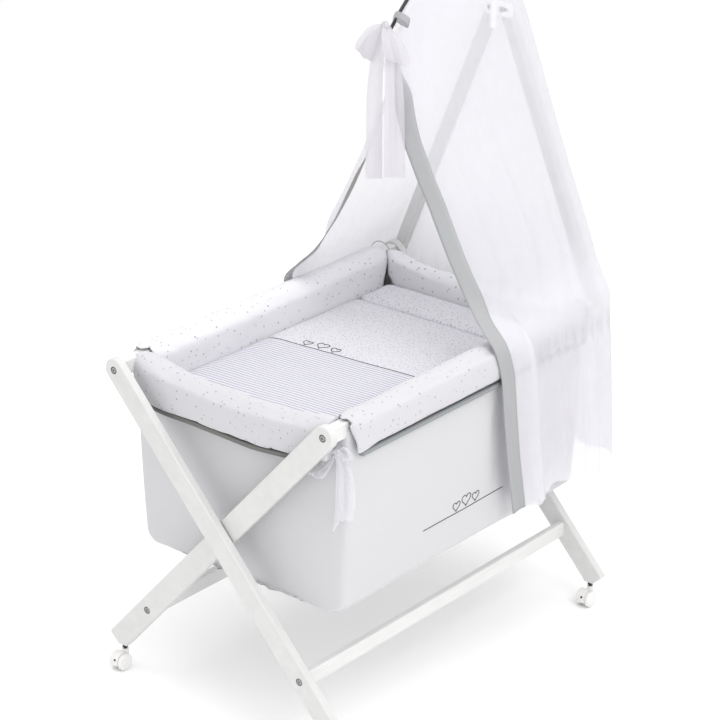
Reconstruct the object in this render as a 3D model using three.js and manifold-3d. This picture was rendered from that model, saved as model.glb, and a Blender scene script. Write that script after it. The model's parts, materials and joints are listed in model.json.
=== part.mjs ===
// Folding baby cradle: a scissor frame of white painted wood on twin-wheel casters, a hung fabric bag
// with padded rail covers, bedding, and a canopy of two hinged bars, a bent rod and a sheer veil.
// Millimetres, +Z up, the origin on the floor under the middle of the frame.
// +X is across the cradle, +Y runs from the foot end to the head end.

import * as THREE from "three";
import { mergeVertices } from "three/addons/utils/BufferGeometryUtils.js";
import Module from "manifold-3d";

const wasm = await Module();
wasm.setup();

// ---------- Driving dimensions ----------

const RAIL_SPAN = 570; // between the screws of the two top rails, across the cradle
const RAIL_HEIGHT = 748; // screws of the top rails above the floor
const PIVOT_HEIGHT = 433; // scissor pivot above the floor
const FRAME_LENGTH = 960; // over the outer legs' faces
const LEG_WIDTH = 52;
const LEG_THICKNESS = 19;
const LEG_GAP = 3; // between the two layers of legs
const LEG_TAIL = 500; // pivot to the leg's square lower end
const LEG_FLAT_HEIGHT = 56; // level cut under the lower corner, where the caster's stem goes in
const CROSSBAR_REACH = 349; // pivot to the crossbar's screw, along the leg
const RAIL_SECTION = [24, 36];
const CROSSBAR_SECTION = [18, 36];

const BAG_HALF_WIDTH_LOW = 284;
const BAG_HALF_WIDTH_HIGH = 300.5;
const BAG_BOTTOM = 315;
const BAG_CORNER = 28;
const BAG_TOP = 752;
const BAG_FOOT = -399;
const BAG_HEAD = 427;
const BAG_WALL = 3;
const SHELF_HEIGHT = 566; // sewn-in panel that carries the base board
const SHELF_THICKNESS = 4;

const MATTRESS = { halfWidth: 249, foot: -385, head: 412, thickness: 60 };
const BOARD = { halfWidth: 260, foot: -380, head: 407, thickness: 8 };

const CANOPY_PIN_HEIGHT = 1392; // upper pins of the canopy bars
const CANOPY_PIN_SPACING = 34;
const CANOPY_BAR_WIDTH = 28;
const CANOPY_BAR_THICKNESS = 22;
const ROD_RADIUS = 4;

const WHEEL_RADIUS = 20;
const CASTER_TRAIL = 15.5; // stem axis to wheel axle

const GAP = 0.3; // left between pieces that touch

// ---------- Derived places ----------

const LEG_ANGLE = Math.atan2(RAIL_HEIGHT - PIVOT_HEIGHT, RAIL_SPAN / 2);
const HEAD_REACH = Math.hypot(RAIL_HEIGHT - PIVOT_HEIGHT, RAIL_SPAN / 2);
const RAIL_X = RAIL_SPAN / 2;
const CROSSBAR_X = CROSSBAR_REACH * Math.cos(LEG_ANGLE);
const CROSSBAR_Z = PIVOT_HEIGHT - CROSSBAR_REACH * Math.sin(LEG_ANGLE);
const OUTER_FACE = FRAME_LENGTH / 2;
const OUTER_INSIDE = OUTER_FACE - LEG_THICKNESS;
const INNER_FACE = OUTER_INSIDE - LEG_GAP;
const INNER_INSIDE = INNER_FACE - LEG_THICKNESS;
const BOARD_BOTTOM = SHELF_HEIGHT + SHELF_THICKNESS + GAP;
const MATTRESS_BOTTOM = BOARD_BOTTOM + BOARD.thickness + GAP;
const MATTRESS_TOP = MATTRESS_BOTTOM + MATTRESS.thickness;
const CANOPY_FRONT = OUTER_FACE + 2 * GAP;
const CANOPY_BACK = CANOPY_FRONT + CANOPY_BAR_THICKNESS;

// ---------- Materials ----------

const finish = (color, roughness, metalness = 0) =>
  new THREE.MeshStandardMaterial({ color, roughness, metalness });

const MATERIAL = {
  paint: finish(0xf1f0ee, 0.45),
  steel: finish(0xa9abad, 0.35, 0.9),
  brass: finish(0xb99a5b, 0.4, 0.9),
  nylon: finish(0xe8e6e0, 0.5),
  wheel: finish(0xf3f2ef, 0.4),
  blackMetal: finish(0x1c1c1e, 0.45, 0.6),
  whiteMetal: finish(0xefeeec, 0.4, 0.2),
  bag: finish(0xececf0, 0.9),
  speckled: finish(0xe6e6ea, 0.9),
  striped: finish(0xd2d1da, 0.9),
  foam: finish(0xf4f3ef, 0.95),
  board: finish(0xcdb48c, 0.7),
  veil: finish(0xf6f6f8, 0.8),
  bow: finish(0xf2f2f5, 0.8),
};

// ---------- Solids ----------

function bare(geometry) {
  const copy = geometry.clone();
  for (const name of Object.keys(copy.attributes)) {
    if (name !== "position") {
      copy.deleteAttribute(name);
    }
  }
  return mergeVertices(copy, 1e-4);
}

function signedVolume(geometry) {
  const position = geometry.attributes.position;
  const index = geometry.index;
  const a = new THREE.Vector3();
  const b = new THREE.Vector3();
  const c = new THREE.Vector3();
  let sum = 0;
  for (let i = 0; i < index.count; i += 3) {
    a.fromBufferAttribute(position, index.getX(i));
    b.fromBufferAttribute(position, index.getX(i + 1));
    c.fromBufferAttribute(position, index.getX(i + 2));
    sum += a.dot(b.cross(c)) / 6;
  }
  return sum;
}

// The same surface with shared vertices and its faces turned outwards.
function closed(geometry) {
  const merged = bare(geometry);
  if (signedVolume(merged) < 0) {
    const index = merged.index;
    for (let i = 0; i < index.count; i += 3) {
      const second = index.getX(i + 1);
      index.setX(i + 1, index.getX(i + 2));
      index.setX(i + 2, second);
    }
  }
  return merged;
}

function toManifold(geometry) {
  const merged = closed(geometry);
  return new wasm.Manifold(
    new wasm.Mesh({
      numProp: 3,
      vertProperties: new Float32Array(merged.attributes.position.array),
      triVerts: new Uint32Array(merged.index.array),
    }),
  );
}

function fromManifold(solid) {
  const mesh = solid.getMesh();
  const geometry = new THREE.BufferGeometry();
  geometry.setAttribute("position", new THREE.BufferAttribute(mesh.vertProperties, 3));
  geometry.setIndex(new THREE.BufferAttribute(mesh.triVerts, 1));
  return geometry;
}

function join(...geometries) {
  return fromManifold(geometries.map(toManifold).reduce((sum, part) => sum.add(part)));
}

function cut(geometry, ...tools) {
  return fromManifold(tools.map(toManifold).reduce((rest, tool) => rest.subtract(tool), toManifold(geometry)));
}

// A box between two opposite corners.
function box(x0, x1, y0, y1, z0, z1) {
  return new THREE.BoxGeometry(x1 - x0, y1 - y0, z1 - z0).translate((x0 + x1) / 2, (y0 + y1) / 2, (z0 + z1) / 2);
}

// A round bar along Y, Z or X between two places on that axis.
function barAlongY(radius, x, z, y0, y1, sides = 12) {
  return new THREE.CylinderGeometry(radius, radius, y1 - y0, sides).translate(x, (y0 + y1) / 2, z);
}

function barAlongZ(radius, x, y, z0, z1, sides = 12) {
  return new THREE.CylinderGeometry(radius, radius, z1 - z0, sides)
    .rotateX(Math.PI / 2)
    .translate(x, y, (z0 + z1) / 2);
}

function barAlongX(radius, y, z, x0, x1, sides = 12) {
  return new THREE.CylinderGeometry(radius, radius, x1 - x0, sides)
    .rotateZ(Math.PI / 2)
    .translate((x0 + x1) / 2, y, z);
}

// An outline drawn in X and Z, made solid from y0 to y1, with rounded edges of the given radius.
function plate(outline, y0, y1, round = 0) {
  const options = { depth: y1 - y0 - 2 * round, bevelEnabled: round > 0, curveSegments: 3, steps: 1 };
  if (round > 0) {
    options.bevelSize = round;
    options.bevelThickness = round;
    options.bevelOffset = -round;
    options.bevelSegments = 1;
  }
  return new THREE.ExtrudeGeometry(outline, options).rotateX(Math.PI / 2).translate(0, y1 - round, 0);
}

// An outline drawn in Y and Z, made solid from x0 to x1.
function plateAcross(outline, x0, x1) {
  return new THREE.ExtrudeGeometry(outline, { depth: x1 - x0, bevelEnabled: false, curveSegments: 3 })
    .rotateX(Math.PI / 2)
    .rotateZ(Math.PI / 2)
    .translate(x0, 0, 0);
}

// An outline drawn in X and Y, made solid from z0 to z1, with rounded edges.
function slab(outline, z0, z1, round) {
  const options = {
    depth: z1 - z0 - 2 * round,
    bevelEnabled: true,
    bevelSize: round,
    bevelThickness: round,
    bevelOffset: -round,
    bevelSegments: 2,
    curveSegments: 3,
  };
  return new THREE.ExtrudeGeometry(outline, options).translate(0, 0, z0 + round);
}

function roundedRectangle(u0, u1, v0, v1, r) {
  const shape = new THREE.Shape();
  shape.moveTo(u0 + r, v0);
  shape.lineTo(u1 - r, v0);
  shape.absarc(u1 - r, v0 + r, r, -Math.PI / 2, 0, false);
  shape.lineTo(u1, v1 - r);
  shape.absarc(u1 - r, v1 - r, r, 0, Math.PI / 2, false);
  shape.lineTo(u0 + r, v1);
  shape.absarc(u0 + r, v1 - r, r, Math.PI / 2, Math.PI, false);
  shape.lineTo(u0, v0 + r);
  shape.absarc(u0 + r, v0 + r, r, Math.PI, 1.5 * Math.PI, false);
  return shape;
}

function polygon(points) {
  return new THREE.Shape(points.map(([u, v]) => new THREE.Vector2(u, v)));
}

function piece(parent, name, geometry, material) {
  const mesh = new THREE.Mesh(closed(geometry), material);
  mesh.name = name;
  parent.add(mesh);
  return mesh;
}

function turned(profile, sides = 12) {
  return new THREE.LatheGeometry(
    profile.map(([r, y]) => new THREE.Vector2(r, y)),
    sides,
  );
}

// ---------- Fasteners ----------

const SCREW = { head: 6.5, headDepth: 3, shank: 3.2, length: 52, socket: 3.2, socketDepth: 2.2 };
const CANOPY_BOLT = { ...SCREW, head: 6.5, length: 78 };
const TOP_BOLT = { ...SCREW, head: 6, headDepth: 3.5, length: 24.8 };
const PIVOT_BOLT = { head: 8, headDepth: 4, shank: 4, length: 38, socket: 3.5, socketDepth: 2.5 };
const FIT = 0.35; // clearance round a shank
const PROUD = 0.6; // how far a screw's head stands out of its pocket

// A socket-head screw that points along +Y, with the outer face of its head at y = 0.
function screw({ head, headDepth, shank, length, socket, socketDepth }) {
  const chamfer = 0.8;
  const body = turned([
    [0, 0],
    [head - chamfer, 0],
    [head, chamfer],
    [head, headDepth],
    [shank, headDepth],
    [shank, length - 2],
    [shank / 2, length],
    [0, length],
  ]);
  const hexagon = new THREE.CylinderGeometry(socket, socket, 2 * socketDepth, 6);
  return cut(body, hexagon);
}

// Places a screw with its head's outer face at the given y. inward is +1 along +Y or -1 along -Y.
function placeScrew(parent, name, kind, x, y, z, inward) {
  const mesh = piece(parent, name, screw(kind), MATERIAL.steel);
  mesh.position.set(x, y, z);
  mesh.rotation.z = inward > 0 ? 0 : Math.PI;
}

// The pocket and bore that a screw needs in the first piece it goes through.
function screwHole(kind, x, z, face, inward, through) {
  const pocket = kind.headDepth - PROUD + FIT;
  const deep = face + inward * pocket;
  const far = face + inward * through;
  const near = face - inward * 2;
  return [
    barAlongY(kind.head + FIT, x, z, Math.min(near, deep), Math.max(near, deep)),
    barAlongY(kind.shank + FIT, x, z, Math.min(near, far), Math.max(near, far)),
  ];
}

// ---------- Legs ----------

// A point on a leg: s along it from the pivot, down towards the caster, and t across it, upwards.
// side is +1 for a leg that comes down on the +X side and -1 for one that comes down on -X.
function onLeg(side, s, t) {
  const cos = Math.cos(LEG_ANGLE);
  const sin = Math.sin(LEG_ANGLE);
  return [side * (s * cos + t * sin), PIVOT_HEIGHT - s * sin + t * cos];
}

// Where the level cut starts on the leg's lower edge and where it ends on the square end.
const HALF_LEG = LEG_WIDTH / 2;
const CUT_START_S = (PIVOT_HEIGHT - LEG_FLAT_HEIGHT - HALF_LEG * Math.cos(LEG_ANGLE)) / Math.sin(LEG_ANGLE);
const CUT_END_T = (LEG_FLAT_HEIGHT - PIVOT_HEIGHT + LEG_TAIL * Math.sin(LEG_ANGLE)) / Math.cos(LEG_ANGLE);
const STEM_X = (onLeg(1, CUT_START_S, -HALF_LEG)[0] + onLeg(1, LEG_TAIL, CUT_END_T)[0]) / 2;

function legOutline(side) {
  const corner = 4;
  const points = [
    [CUT_START_S, -HALF_LEG],
    [LEG_TAIL, CUT_END_T],
    [LEG_TAIL, HALF_LEG - corner],
    [LEG_TAIL - corner * 0.3, HALF_LEG - corner * 0.3],
    [LEG_TAIL - corner, HALF_LEG],
  ];
  const turns = 10;
  for (let i = 0; i <= turns; i += 1) {
    const a = Math.PI / 2 + (Math.PI * i) / turns;
    points.push([-HEAD_REACH + HALF_LEG * Math.cos(a), HALF_LEG * Math.sin(a)]);
  }
  return polygon(points.map(([s, t]) => onLeg(side, s, t)));
}

const STEM = { radius: 4, top: 86, collar: 6.5, collarBottom: 49.5 };
const INSERT = { radius: 7, depth: 14 };

// A leg with its outer face at y = face. layer is "outer" or "inner".
function leg(side, layer, end) {
  const inward = -end;
  const face = end * (layer === "outer" ? OUTER_FACE : INNER_FACE);
  const inside = face + inward * LEG_THICKNESS;
  const middle = (face + inside) / 2;
  const body = plate(legOutline(side), Math.min(face, inside), Math.max(face, inside), 2);
  const [headX, headZ] = onLeg(side, -HEAD_REACH, 0);
  const [barX, barZ] = onLeg(side, CROSSBAR_REACH, 0);
  const through = LEG_THICKNESS + 2;
  const tools = [
    ...screwHole(SCREW, barX, barZ, face, inward, through),
    barAlongZ(STEM.radius + FIT, side * STEM_X, middle, LEG_FLAT_HEIGHT - 10, STEM.top + 1),
  ];
  if (end < 0) {
    tools.push(...screwHole(SCREW, headX, headZ, face, inward, through));
  } else {
    const reach = [face - 2, inside - 2].sort((a, b) => a - b);
    tools.push(barAlongY(SCREW.shank + FIT, headX, headZ, reach[0], face + 2));
  }
  if (layer === "outer") {
    const ends = [inside + inward * 2, inside - inward * INSERT.depth].sort((a, b) => a - b);
    tools.push(barAlongY(INSERT.radius + FIT, 0, PIVOT_HEIGHT, ...ends));
  } else {
    const ends = [inside + inward * 2, face - inward * 2].sort((a, b) => a - b);
    tools.push(barAlongY(PIVOT_BOLT.shank + FIT, 0, PIVOT_HEIGHT, ...ends));
  }
  return cut(body, ...tools);
}

// ---------- Rails and crossbars ----------

// A straight bar along Y between two legs, bored in both ends for its screws.
function endBoredBar([width, height], x, z, half, footDepth, headDepth) {
  const section = roundedRectangle(x - width / 2, x + width / 2, z - height / 2, z + height / 2, 4);
  const y = half - GAP;
  return cut(
    plate(section, -y, y),
    barAlongY(SCREW.shank + FIT, x, z, -y - 1, -y + footDepth),
    barAlongY(SCREW.shank + FIT, x, z, y - headDepth, y + 1),
  );
}

const SCREW_BORE = SCREW.length - LEG_THICKNESS + 4;
const CANOPY_BORE = 40;

// One folding half: two legs, a top rail and a crossbar. side is where its legs come down.
function foldingHalf(parent, layer, side) {
  const half = layer === "outer" ? OUTER_INSIDE : INNER_INSIDE;
  const face = layer === "outer" ? OUTER_FACE : INNER_FACE;
  const railSide = -side;
  const railName = railSide > 0 ? "rail_right" : "rail_left";
  const barName = side > 0 ? "crossbar_right" : "crossbar_left";
  for (const [end, endName] of [
    [-1, "foot"],
    [1, "head"],
  ]) {
    piece(parent, `leg_${layer}_${endName}`, leg(side, layer, end), MATERIAL.paint);
    const y = end * (face + PROUD);
    placeScrew(parent, `${barName}_screw_${endName}`, SCREW, side * CROSSBAR_X, y, CROSSBAR_Z, -end);
  }
  placeScrew(parent, `${railName}_screw`, SCREW, railSide * RAIL_X, -face - PROUD, RAIL_HEIGHT, 1);
  piece(
    parent,
    railName,
    endBoredBar(RAIL_SECTION, railSide * RAIL_X, RAIL_HEIGHT, half, SCREW_BORE, CANOPY_BORE),
    MATERIAL.paint,
  );
  piece(
    parent,
    barName,
    endBoredBar(CROSSBAR_SECTION, side * CROSSBAR_X, CROSSBAR_Z, half, SCREW_BORE, SCREW_BORE),
    MATERIAL.paint,
  );
}

// The bolt, spacer washer and threaded insert that join the two layers of legs at one end.
function pivotSet(parent, end, endName) {
  const inside = end * (INNER_INSIDE - GAP);
  const bolt = piece(parent, `pivot_bolt_${endName}`, screw(PIVOT_BOLT), MATERIAL.steel);
  bolt.position.set(0, inside - end * PIVOT_BOLT.headDepth, PIVOT_HEIGHT);
  bolt.rotation.z = end > 0 ? 0 : Math.PI;
  const ring = (outer, bore, y0, y1) =>
    cut(
      barAlongY(outer, 0, 0, Math.min(y0, y1), Math.max(y0, y1), 20),
      barAlongY(bore, 0, 0, Math.min(y0, y1) - 1, Math.max(y0, y1) + 1, 20),
    );
  const washer = ring(12, PIVOT_BOLT.shank + FIT, end * (INNER_FACE + GAP), end * (OUTER_INSIDE - GAP));
  piece(parent, `pivot_washer_${endName}`, washer, MATERIAL.nylon).position.z = PIVOT_HEIGHT;
  const insertEnd = OUTER_INSIDE + INSERT.depth - GAP;
  const insert = ring(INSERT.radius, PIVOT_BOLT.shank + FIT, end * (OUTER_INSIDE + GAP), end * insertEnd);
  piece(parent, `pivot_insert_${endName}`, insert, MATERIAL.brass).position.z = PIVOT_HEIGHT;
}

// ---------- Casters ----------

const WHEEL = { bore: 2.7, boreDepth: 8, width: 10.5, inner: 8.3 };
const HOOD = { halfWidth: 7.8, radius: 21.2, boss: 7.6, top: 45.5, boreBottom: 27 };
const AXLE_RADIUS = 2.3;

function wheel() {
  const r = WHEEL_RADIUS;
  const { bore, boreDepth, width } = WHEEL;
  return turned(
    [
      [0, boreDepth],
      [bore, boreDepth],
      [bore, 0],
      [r - 1, 0],
      [r, 1.5],
      [r, width - 3.4],
      [r - 1.2, width - 1.4],
      [r - 5, width - 0.3],
      [0, width],
    ],
    24,
  );
}

function hood() {
  const dome = [];
  const turns = 12;
  const below = THREE.MathUtils.degToRad(-18);
  for (let i = 0; i <= turns; i += 1) {
    const a = below + ((Math.PI - 2 * below) * i) / turns;
    dome.push([-CASTER_TRAIL + HOOD.radius * Math.cos(a), WHEEL_RADIUS + HOOD.radius * Math.sin(a)]);
  }
  const body = join(
    plateAcross(polygon(dome), -HOOD.halfWidth, HOOD.halfWidth),
    barAlongZ(HOOD.boss, 0, 0, WHEEL_RADIUS, HOOD.top, 16),
  );
  return cut(
    body,
    barAlongZ(STEM.radius + FIT, 0, 0, HOOD.boreBottom, HOOD.top + 1),
    barAlongX(AXLE_RADIUS + FIT, -CASTER_TRAIL, WHEEL_RADIUS, -HOOD.halfWidth - 1, HOOD.halfWidth + 1),
  );
}

function stem() {
  const { radius, top, collar, collarBottom } = STEM;
  const foot = HOOD.boreBottom + GAP;
  const seat = LEG_FLAT_HEIGHT - GAP;
  return turned(
    [
      [0, foot],
      [radius, foot],
      [radius, collarBottom],
      [collar, collarBottom],
      [collar, seat],
      [radius, seat],
      [radius, top - 1],
      [radius - 1, top],
      [0, top],
    ],
    12,
  ).rotateX(Math.PI / 2);
}

// A caster under the leg whose stem goes in at the given x and y.
function caster(parent, name, x, y) {
  const group = new THREE.Group();
  group.position.set(x, y, 0);
  parent.add(group);
  piece(group, `${name}_stem`, stem(), MATERIAL.blackMetal);
  piece(group, `${name}_hood`, hood(), MATERIAL.wheel);
  const axleHalf = WHEEL.inner + WHEEL.boreDepth - GAP;
  const axle = barAlongX(AXLE_RADIUS, -CASTER_TRAIL, WHEEL_RADIUS, -axleHalf, axleHalf, 12);
  piece(group, `${name}_axle`, axle, MATERIAL.steel);
  for (const [side, sideName] of [
    [-1, "left"],
    [1, "right"],
  ]) {
    const mesh = piece(group, `${name}_wheel_${sideName}`, wheel(), MATERIAL.wheel);
    mesh.position.set(side * WHEEL.inner, -CASTER_TRAIL, WHEEL_RADIUS);
    mesh.rotation.z = (-side * Math.PI) / 2;
  }
}

// ---------- Bag, board and bedding ----------

// Half profile of the bag across the cradle, as an outline inset by the given amount.
function bagOutline(inset, bottom, top) {
  const low = BAG_HALF_WIDTH_LOW - inset;
  const slope = (BAG_HALF_WIDTH_HIGH - BAG_HALF_WIDTH_LOW) / (BAG_TOP - BAG_BOTTOM);
  const widthAt = (z) => low + slope * (z - BAG_BOTTOM);
  const corner = bottom < BAG_BOTTOM + 10 ? BAG_CORNER - inset : 0;
  const right = [];
  const turns = corner > 0 ? 5 : 0;
  for (let i = 0; i <= turns; i += 1) {
    const a = turns > 0 ? (Math.PI / 2) * (i / turns) : 0;
    const x = widthAt(bottom + corner) - corner + corner * Math.sin(a);
    right.push([x, bottom + corner - corner * Math.cos(a)]);
  }
  right.push([widthAt(top), top]);
  const left = right.map(([x, z]) => [-x, z]).reverse();
  return polygon([...right, ...left]);
}

// An open-topped bag hung from the rails, with a sewn-in panel that carries the base board.
function bag() {
  const foot = BAG_FOOT + BAG_WALL;
  const head = BAG_HEAD - BAG_WALL;
  const above = BAG_TOP + 20;
  const shelfTop = SHELF_HEIGHT + SHELF_THICKNESS;
  const slot = 12;
  const railInner = RAIL_X - RAIL_SECTION[0] / 2 - 0.6;
  const railOuter = RAIL_X + RAIL_SECTION[0] / 2 + 0.4;
  const railBottom = RAIL_HEIGHT - RAIL_SECTION[1] / 2 - 0.6;
  return cut(
    plate(bagOutline(0, BAG_BOTTOM, BAG_TOP), BAG_FOOT, BAG_HEAD),
    plate(bagOutline(BAG_WALL, BAG_BOTTOM + BAG_WALL, SHELF_HEIGHT), foot, head),
    plate(bagOutline(BAG_WALL, shelfTop, above), foot, head),
    box(-BOARD.halfWidth, BOARD.halfWidth, foot, foot + slot, SHELF_HEIGHT - 5, shelfTop + 5),
    box(-BOARD.halfWidth, BOARD.halfWidth, head - slot, head, SHELF_HEIGHT - 5, shelfTop + 5),
    box(railInner, railOuter, BAG_FOOT - 1, BAG_HEAD + 1, railBottom, above),
    box(-railOuter, -railInner, BAG_FOOT - 1, BAG_HEAD + 1, railBottom, above),
  );
}

const PAD = {
  top: 786,
  outerX: 318,
  innerX: 252,
  thickness: 17,
  outerBottom: 690,
  innerBottom: 600,
  foot: -392,
  head: 423,
};

// A padded cover folded over a top rail: a long flap inside the cradle and a short one outside.
function sidePad(side) {
  const { top, outerX, innerX, thickness, outerBottom, innerBottom } = PAD;
  const crown = 15;
  const under = RAIL_HEIGHT + RAIL_SECTION[1] / 2 + 2.5;
  const outline = [
    [outerX, outerBottom],
    [outerX, top - crown],
    [outerX - 0.3 * crown, top - 0.3 * crown],
    [outerX - crown, top],
    [innerX + crown, top],
    [innerX + 0.3 * crown, top - 0.3 * crown],
    [innerX, top - crown],
    [innerX, innerBottom],
    [innerX + thickness, innerBottom],
    [innerX + thickness, under],
    [outerX - thickness + 1, under],
    [outerX - thickness + 1, outerBottom],
  ];
  return plate(polygon(outline.map(([x, z]) => [side * x, z])), PAD.foot, PAD.head);
}

const END_PAD = { top: 780, halfWidth: 268, innerHalfWidth: 249, middleBottom: 655, cornerBottom: 670 };

// A padded cover over an end wall of the bag, between the rails. Its outer flap hangs in a curve.
// wall is the wall's outer face, outer and inner the pad's faces, and end is -1 at the foot end.
function endPad(end, wall, outer, inner) {
  const { top, halfWidth, innerHalfWidth, middleBottom, cornerBottom } = END_PAD;
  const outline = [
    [halfWidth, top - 12],
    [halfWidth - 12, top],
    [12 - halfWidth, top],
    [-halfWidth, top - 12],
  ];
  const steps = 14;
  for (let i = 0; i <= steps; i += 1) {
    const x = -halfWidth + (2 * halfWidth * i) / steps;
    outline.push([x, middleBottom + (cornerBottom - middleBottom) * (x / halfWidth) ** 2]);
  }
  const clear = 2;
  const outerRange = [outer, wall + end * clear].sort((a, b) => a - b);
  const innerRange = [inner, wall - end * (BAG_WALL + clear)].sort((a, b) => a - b);
  const topRange = [outer + end * -4, inner].sort((a, b) => a - b);
  const crest = BAG_TOP + 4;
  return join(
    plate(polygon(outline), ...outerRange),
    box(-innerHalfWidth, innerHalfWidth, ...innerRange, MATTRESS_TOP + 2, top),
    box(-innerHalfWidth, innerHalfWidth, ...topRange, crest, top),
  );
}

function beddingSlab(halfWidth, foot, head, bottom, top, corner, round) {
  return slab(roundedRectangle(-halfWidth, halfWidth, foot, head, corner), bottom, top, round);
}

// ---------- Canopy ----------

const PIN_X = CANOPY_PIN_SPACING / 2;
const SLOT_TRAVEL = 12; // how far the right pin slides in the bracket as the frame folds

// A bar from the top rail's end up to its pin, with round ends.
function canopyBar(side) {
  const half = CANOPY_BAR_WIDTH / 2;
  const lean = Math.atan2(CANOPY_PIN_HEIGHT - RAIL_HEIGHT, RAIL_X - PIN_X);
  const points = [];
  const turns = 6;
  for (const [x, z, start] of [
    [RAIL_X, RAIL_HEIGHT, -lean - Math.PI / 2],
    [PIN_X, CANOPY_PIN_HEIGHT, -lean + Math.PI / 2],
  ]) {
    for (let i = 0; i <= turns; i += 1) {
      const a = start + (Math.PI * i) / turns;
      points.push([side * (x + half * Math.cos(a)), z + half * Math.sin(a)]);
    }
  }
  return cut(
    plate(polygon(points), CANOPY_FRONT, CANOPY_BACK, 2),
    ...screwHole({ ...CANOPY_BOLT, headDepth: 4 }, side * RAIL_X, RAIL_HEIGHT, CANOPY_BACK, -1, 30),
    barAlongY(SCREW.shank + FIT, side * PIN_X, CANOPY_PIN_HEIGHT, CANOPY_FRONT - 1, CANOPY_FRONT + 18),
  );
}

const BRACKET = { front: OUTER_FACE - 4, back: OUTER_FACE + GAP, bottom: 1376, top: 1408, left: -30, right: 44 };
const ROD_Y = 468;
const SOCKET = { radius: 8, bottom: 1350, top: 1425, boreBottom: 1358 };

// The plate that joins the two bars' pins and carries the rod in an upright socket.
function canopyBracket() {
  const { front, back, bottom, top, left, right } = BRACKET;
  const pin = SCREW.shank + FIT;
  const slotPath = new THREE.Shape();
  slotPath.absarc(PIN_X + SLOT_TRAVEL, CANOPY_PIN_HEIGHT, pin + 0.4, -Math.PI / 2, Math.PI / 2, false);
  slotPath.absarc(PIN_X, CANOPY_PIN_HEIGHT, pin + 0.4, Math.PI / 2, 1.5 * Math.PI, false);
  const body = join(
    plate(roundedRectangle(left, right, bottom, top, 6), front, back),
    box(-6, 6, ROD_Y - 2, back - 1, bottom, top),
    barAlongZ(SOCKET.radius, 0, ROD_Y, SOCKET.bottom, SOCKET.top, 16),
  );
  return cut(
    body,
    barAlongZ(ROD_RADIUS + FIT, 0, ROD_Y, SOCKET.boreBottom, SOCKET.top + 1),
    barAlongY(pin, -PIN_X, CANOPY_PIN_HEIGHT, front - 1, back + 1),
    plate(slotPath, front - 1, back + 1),
  );
}

// The rod's centreline: up out of its socket, forward over the cradle and down to its tip.
const ROD_LINE = new THREE.CatmullRomCurve3(
  [
    [ROD_Y, SOCKET.boreBottom + GAP],
    [ROD_Y, 1400],
    [ROD_Y - 3, 1442],
    [430, 1492],
    [365, 1527],
    [290, 1538],
    [222, 1523],
    [171, 1487],
    [134, 1455],
    [97, 1418],
  ].map(([y, z]) => new THREE.Vector3(0, y, z)),
  false,
  "centripetal",
);

function rod() {
  const section = new THREE.Shape();
  section.absarc(0, 0, ROD_RADIUS, 0, 2 * Math.PI, false);
  const tube = new THREE.ExtrudeGeometry(section, { steps: 32, curveSegments: 4, extrudePath: ROD_LINE });
  const tip = ROD_LINE.getPointAt(1);
  return join(tube, new THREE.SphereGeometry(ROD_RADIUS + 1.6, 12, 8).translate(tip.x, tip.y, tip.z));
}

// ---------- Veil ----------

const VEIL = { thickness: 1.5, back: 506, hem: 335, ridgeLift: 8, columns: 11, corner: 0.62 };

// Straight-line interpolation in a short list of [z, value] stations, highest first.
function atHeight(stations, z) {
  if (z >= stations[0][0]) {
    return stations[0][1];
  }
  for (let i = 1; i < stations.length; i += 1) {
    const [highZ, high] = stations[i - 1];
    const [lowZ, low] = stations[i];
    if (z >= lowZ) {
      return low + ((high - low) * (z - lowZ)) / (highZ - lowZ);
    }
  }
  return stations[stations.length - 1][1];
}

const FRONT_X = [
  [1500, 10],
  [1400, 12],
  [1250, 18],
  [1180, 37],
  [1110, 72],
  [1050, 108],
  [980, 146],
  [860, 250],
  [805, 298],
  [790, 322],
  [770, 324],
];
const FRONT_Y = [
  [1400, 106],
  [1050, 104],
  [950, 94],
  [860, 82],
  [805, 72],
  [770, 70],
  [690, 97],
  [560, 114],
  [440, 133],
  [335, 152],
];
const CORNER_X = [
  [1500, 16],
  [1412, 54],
  [860, 282],
  [805, 314],
  [790, 323],
  [770, 325],
];

// Rows of the veil: over the ridge, then a share of the way down to the shoulder, then at set heights.
const RIDGE_ROWS = [
  { drop: 0, halfWidth: 0 },
  { drop: 3, halfWidth: 6.5 },
  { drop: 12, halfWidth: 9.5 },
];
const UPPER_SHARES = [0.09, 0.22, 0.42, 0.7];
const LOWER_HEIGHTS = [860, 805, 790, 770, 690, 560, 440, VEIL.hem];
const VEIL_ROWS = RIDGE_ROWS.length + UPPER_SHARES.length + LOWER_HEIGHTS.length;

// A point of the veil's outer surface on its +X half: f runs from the front edge round to the middle
// of the back, and row counts down from the ridge over the rod to the hem.
function veilPoint(f, row) {
  const alongRod = Math.min(f / VEIL.corner, 1);
  const s = 0.93 - 0.62 * alongRod;
  const centre = ROD_LINE.getPointAt(s);
  const tangent = ROD_LINE.getTangentAt(s);
  const round = Math.max(f - VEIL.corner, 0) / (1 - VEIL.corner);
  const ridgeY = THREE.MathUtils.lerp(centre.y + VEIL.ridgeLift * tangent.z, VEIL.back, round);
  const ridgeZ = centre.z - VEIL.ridgeLift * tangent.y - 12 * round;
  if (row < RIDGE_ROWS.length) {
    const { drop, halfWidth } = RIDGE_ROWS[row];
    return new THREE.Vector3(halfWidth * (1 - round), ridgeY, ridgeZ - drop);
  }
  const below = row - RIDGE_ROWS.length;
  const share = UPPER_SHARES[below] ?? 1;
  const z = LOWER_HEIGHTS[below - UPPER_SHARES.length] ?? THREE.MathUtils.lerp(ridgeZ, LOWER_HEIGHTS[0], share);
  const wallY = THREE.MathUtils.lerp(atHeight(FRONT_Y, z), VEIL.back, alongRod);
  const wallX = THREE.MathUtils.lerp(atHeight(FRONT_X, z), atHeight(CORNER_X, z), alongRod) * (1 - round);
  return new THREE.Vector3(wallX, wallY, z);
}

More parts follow.
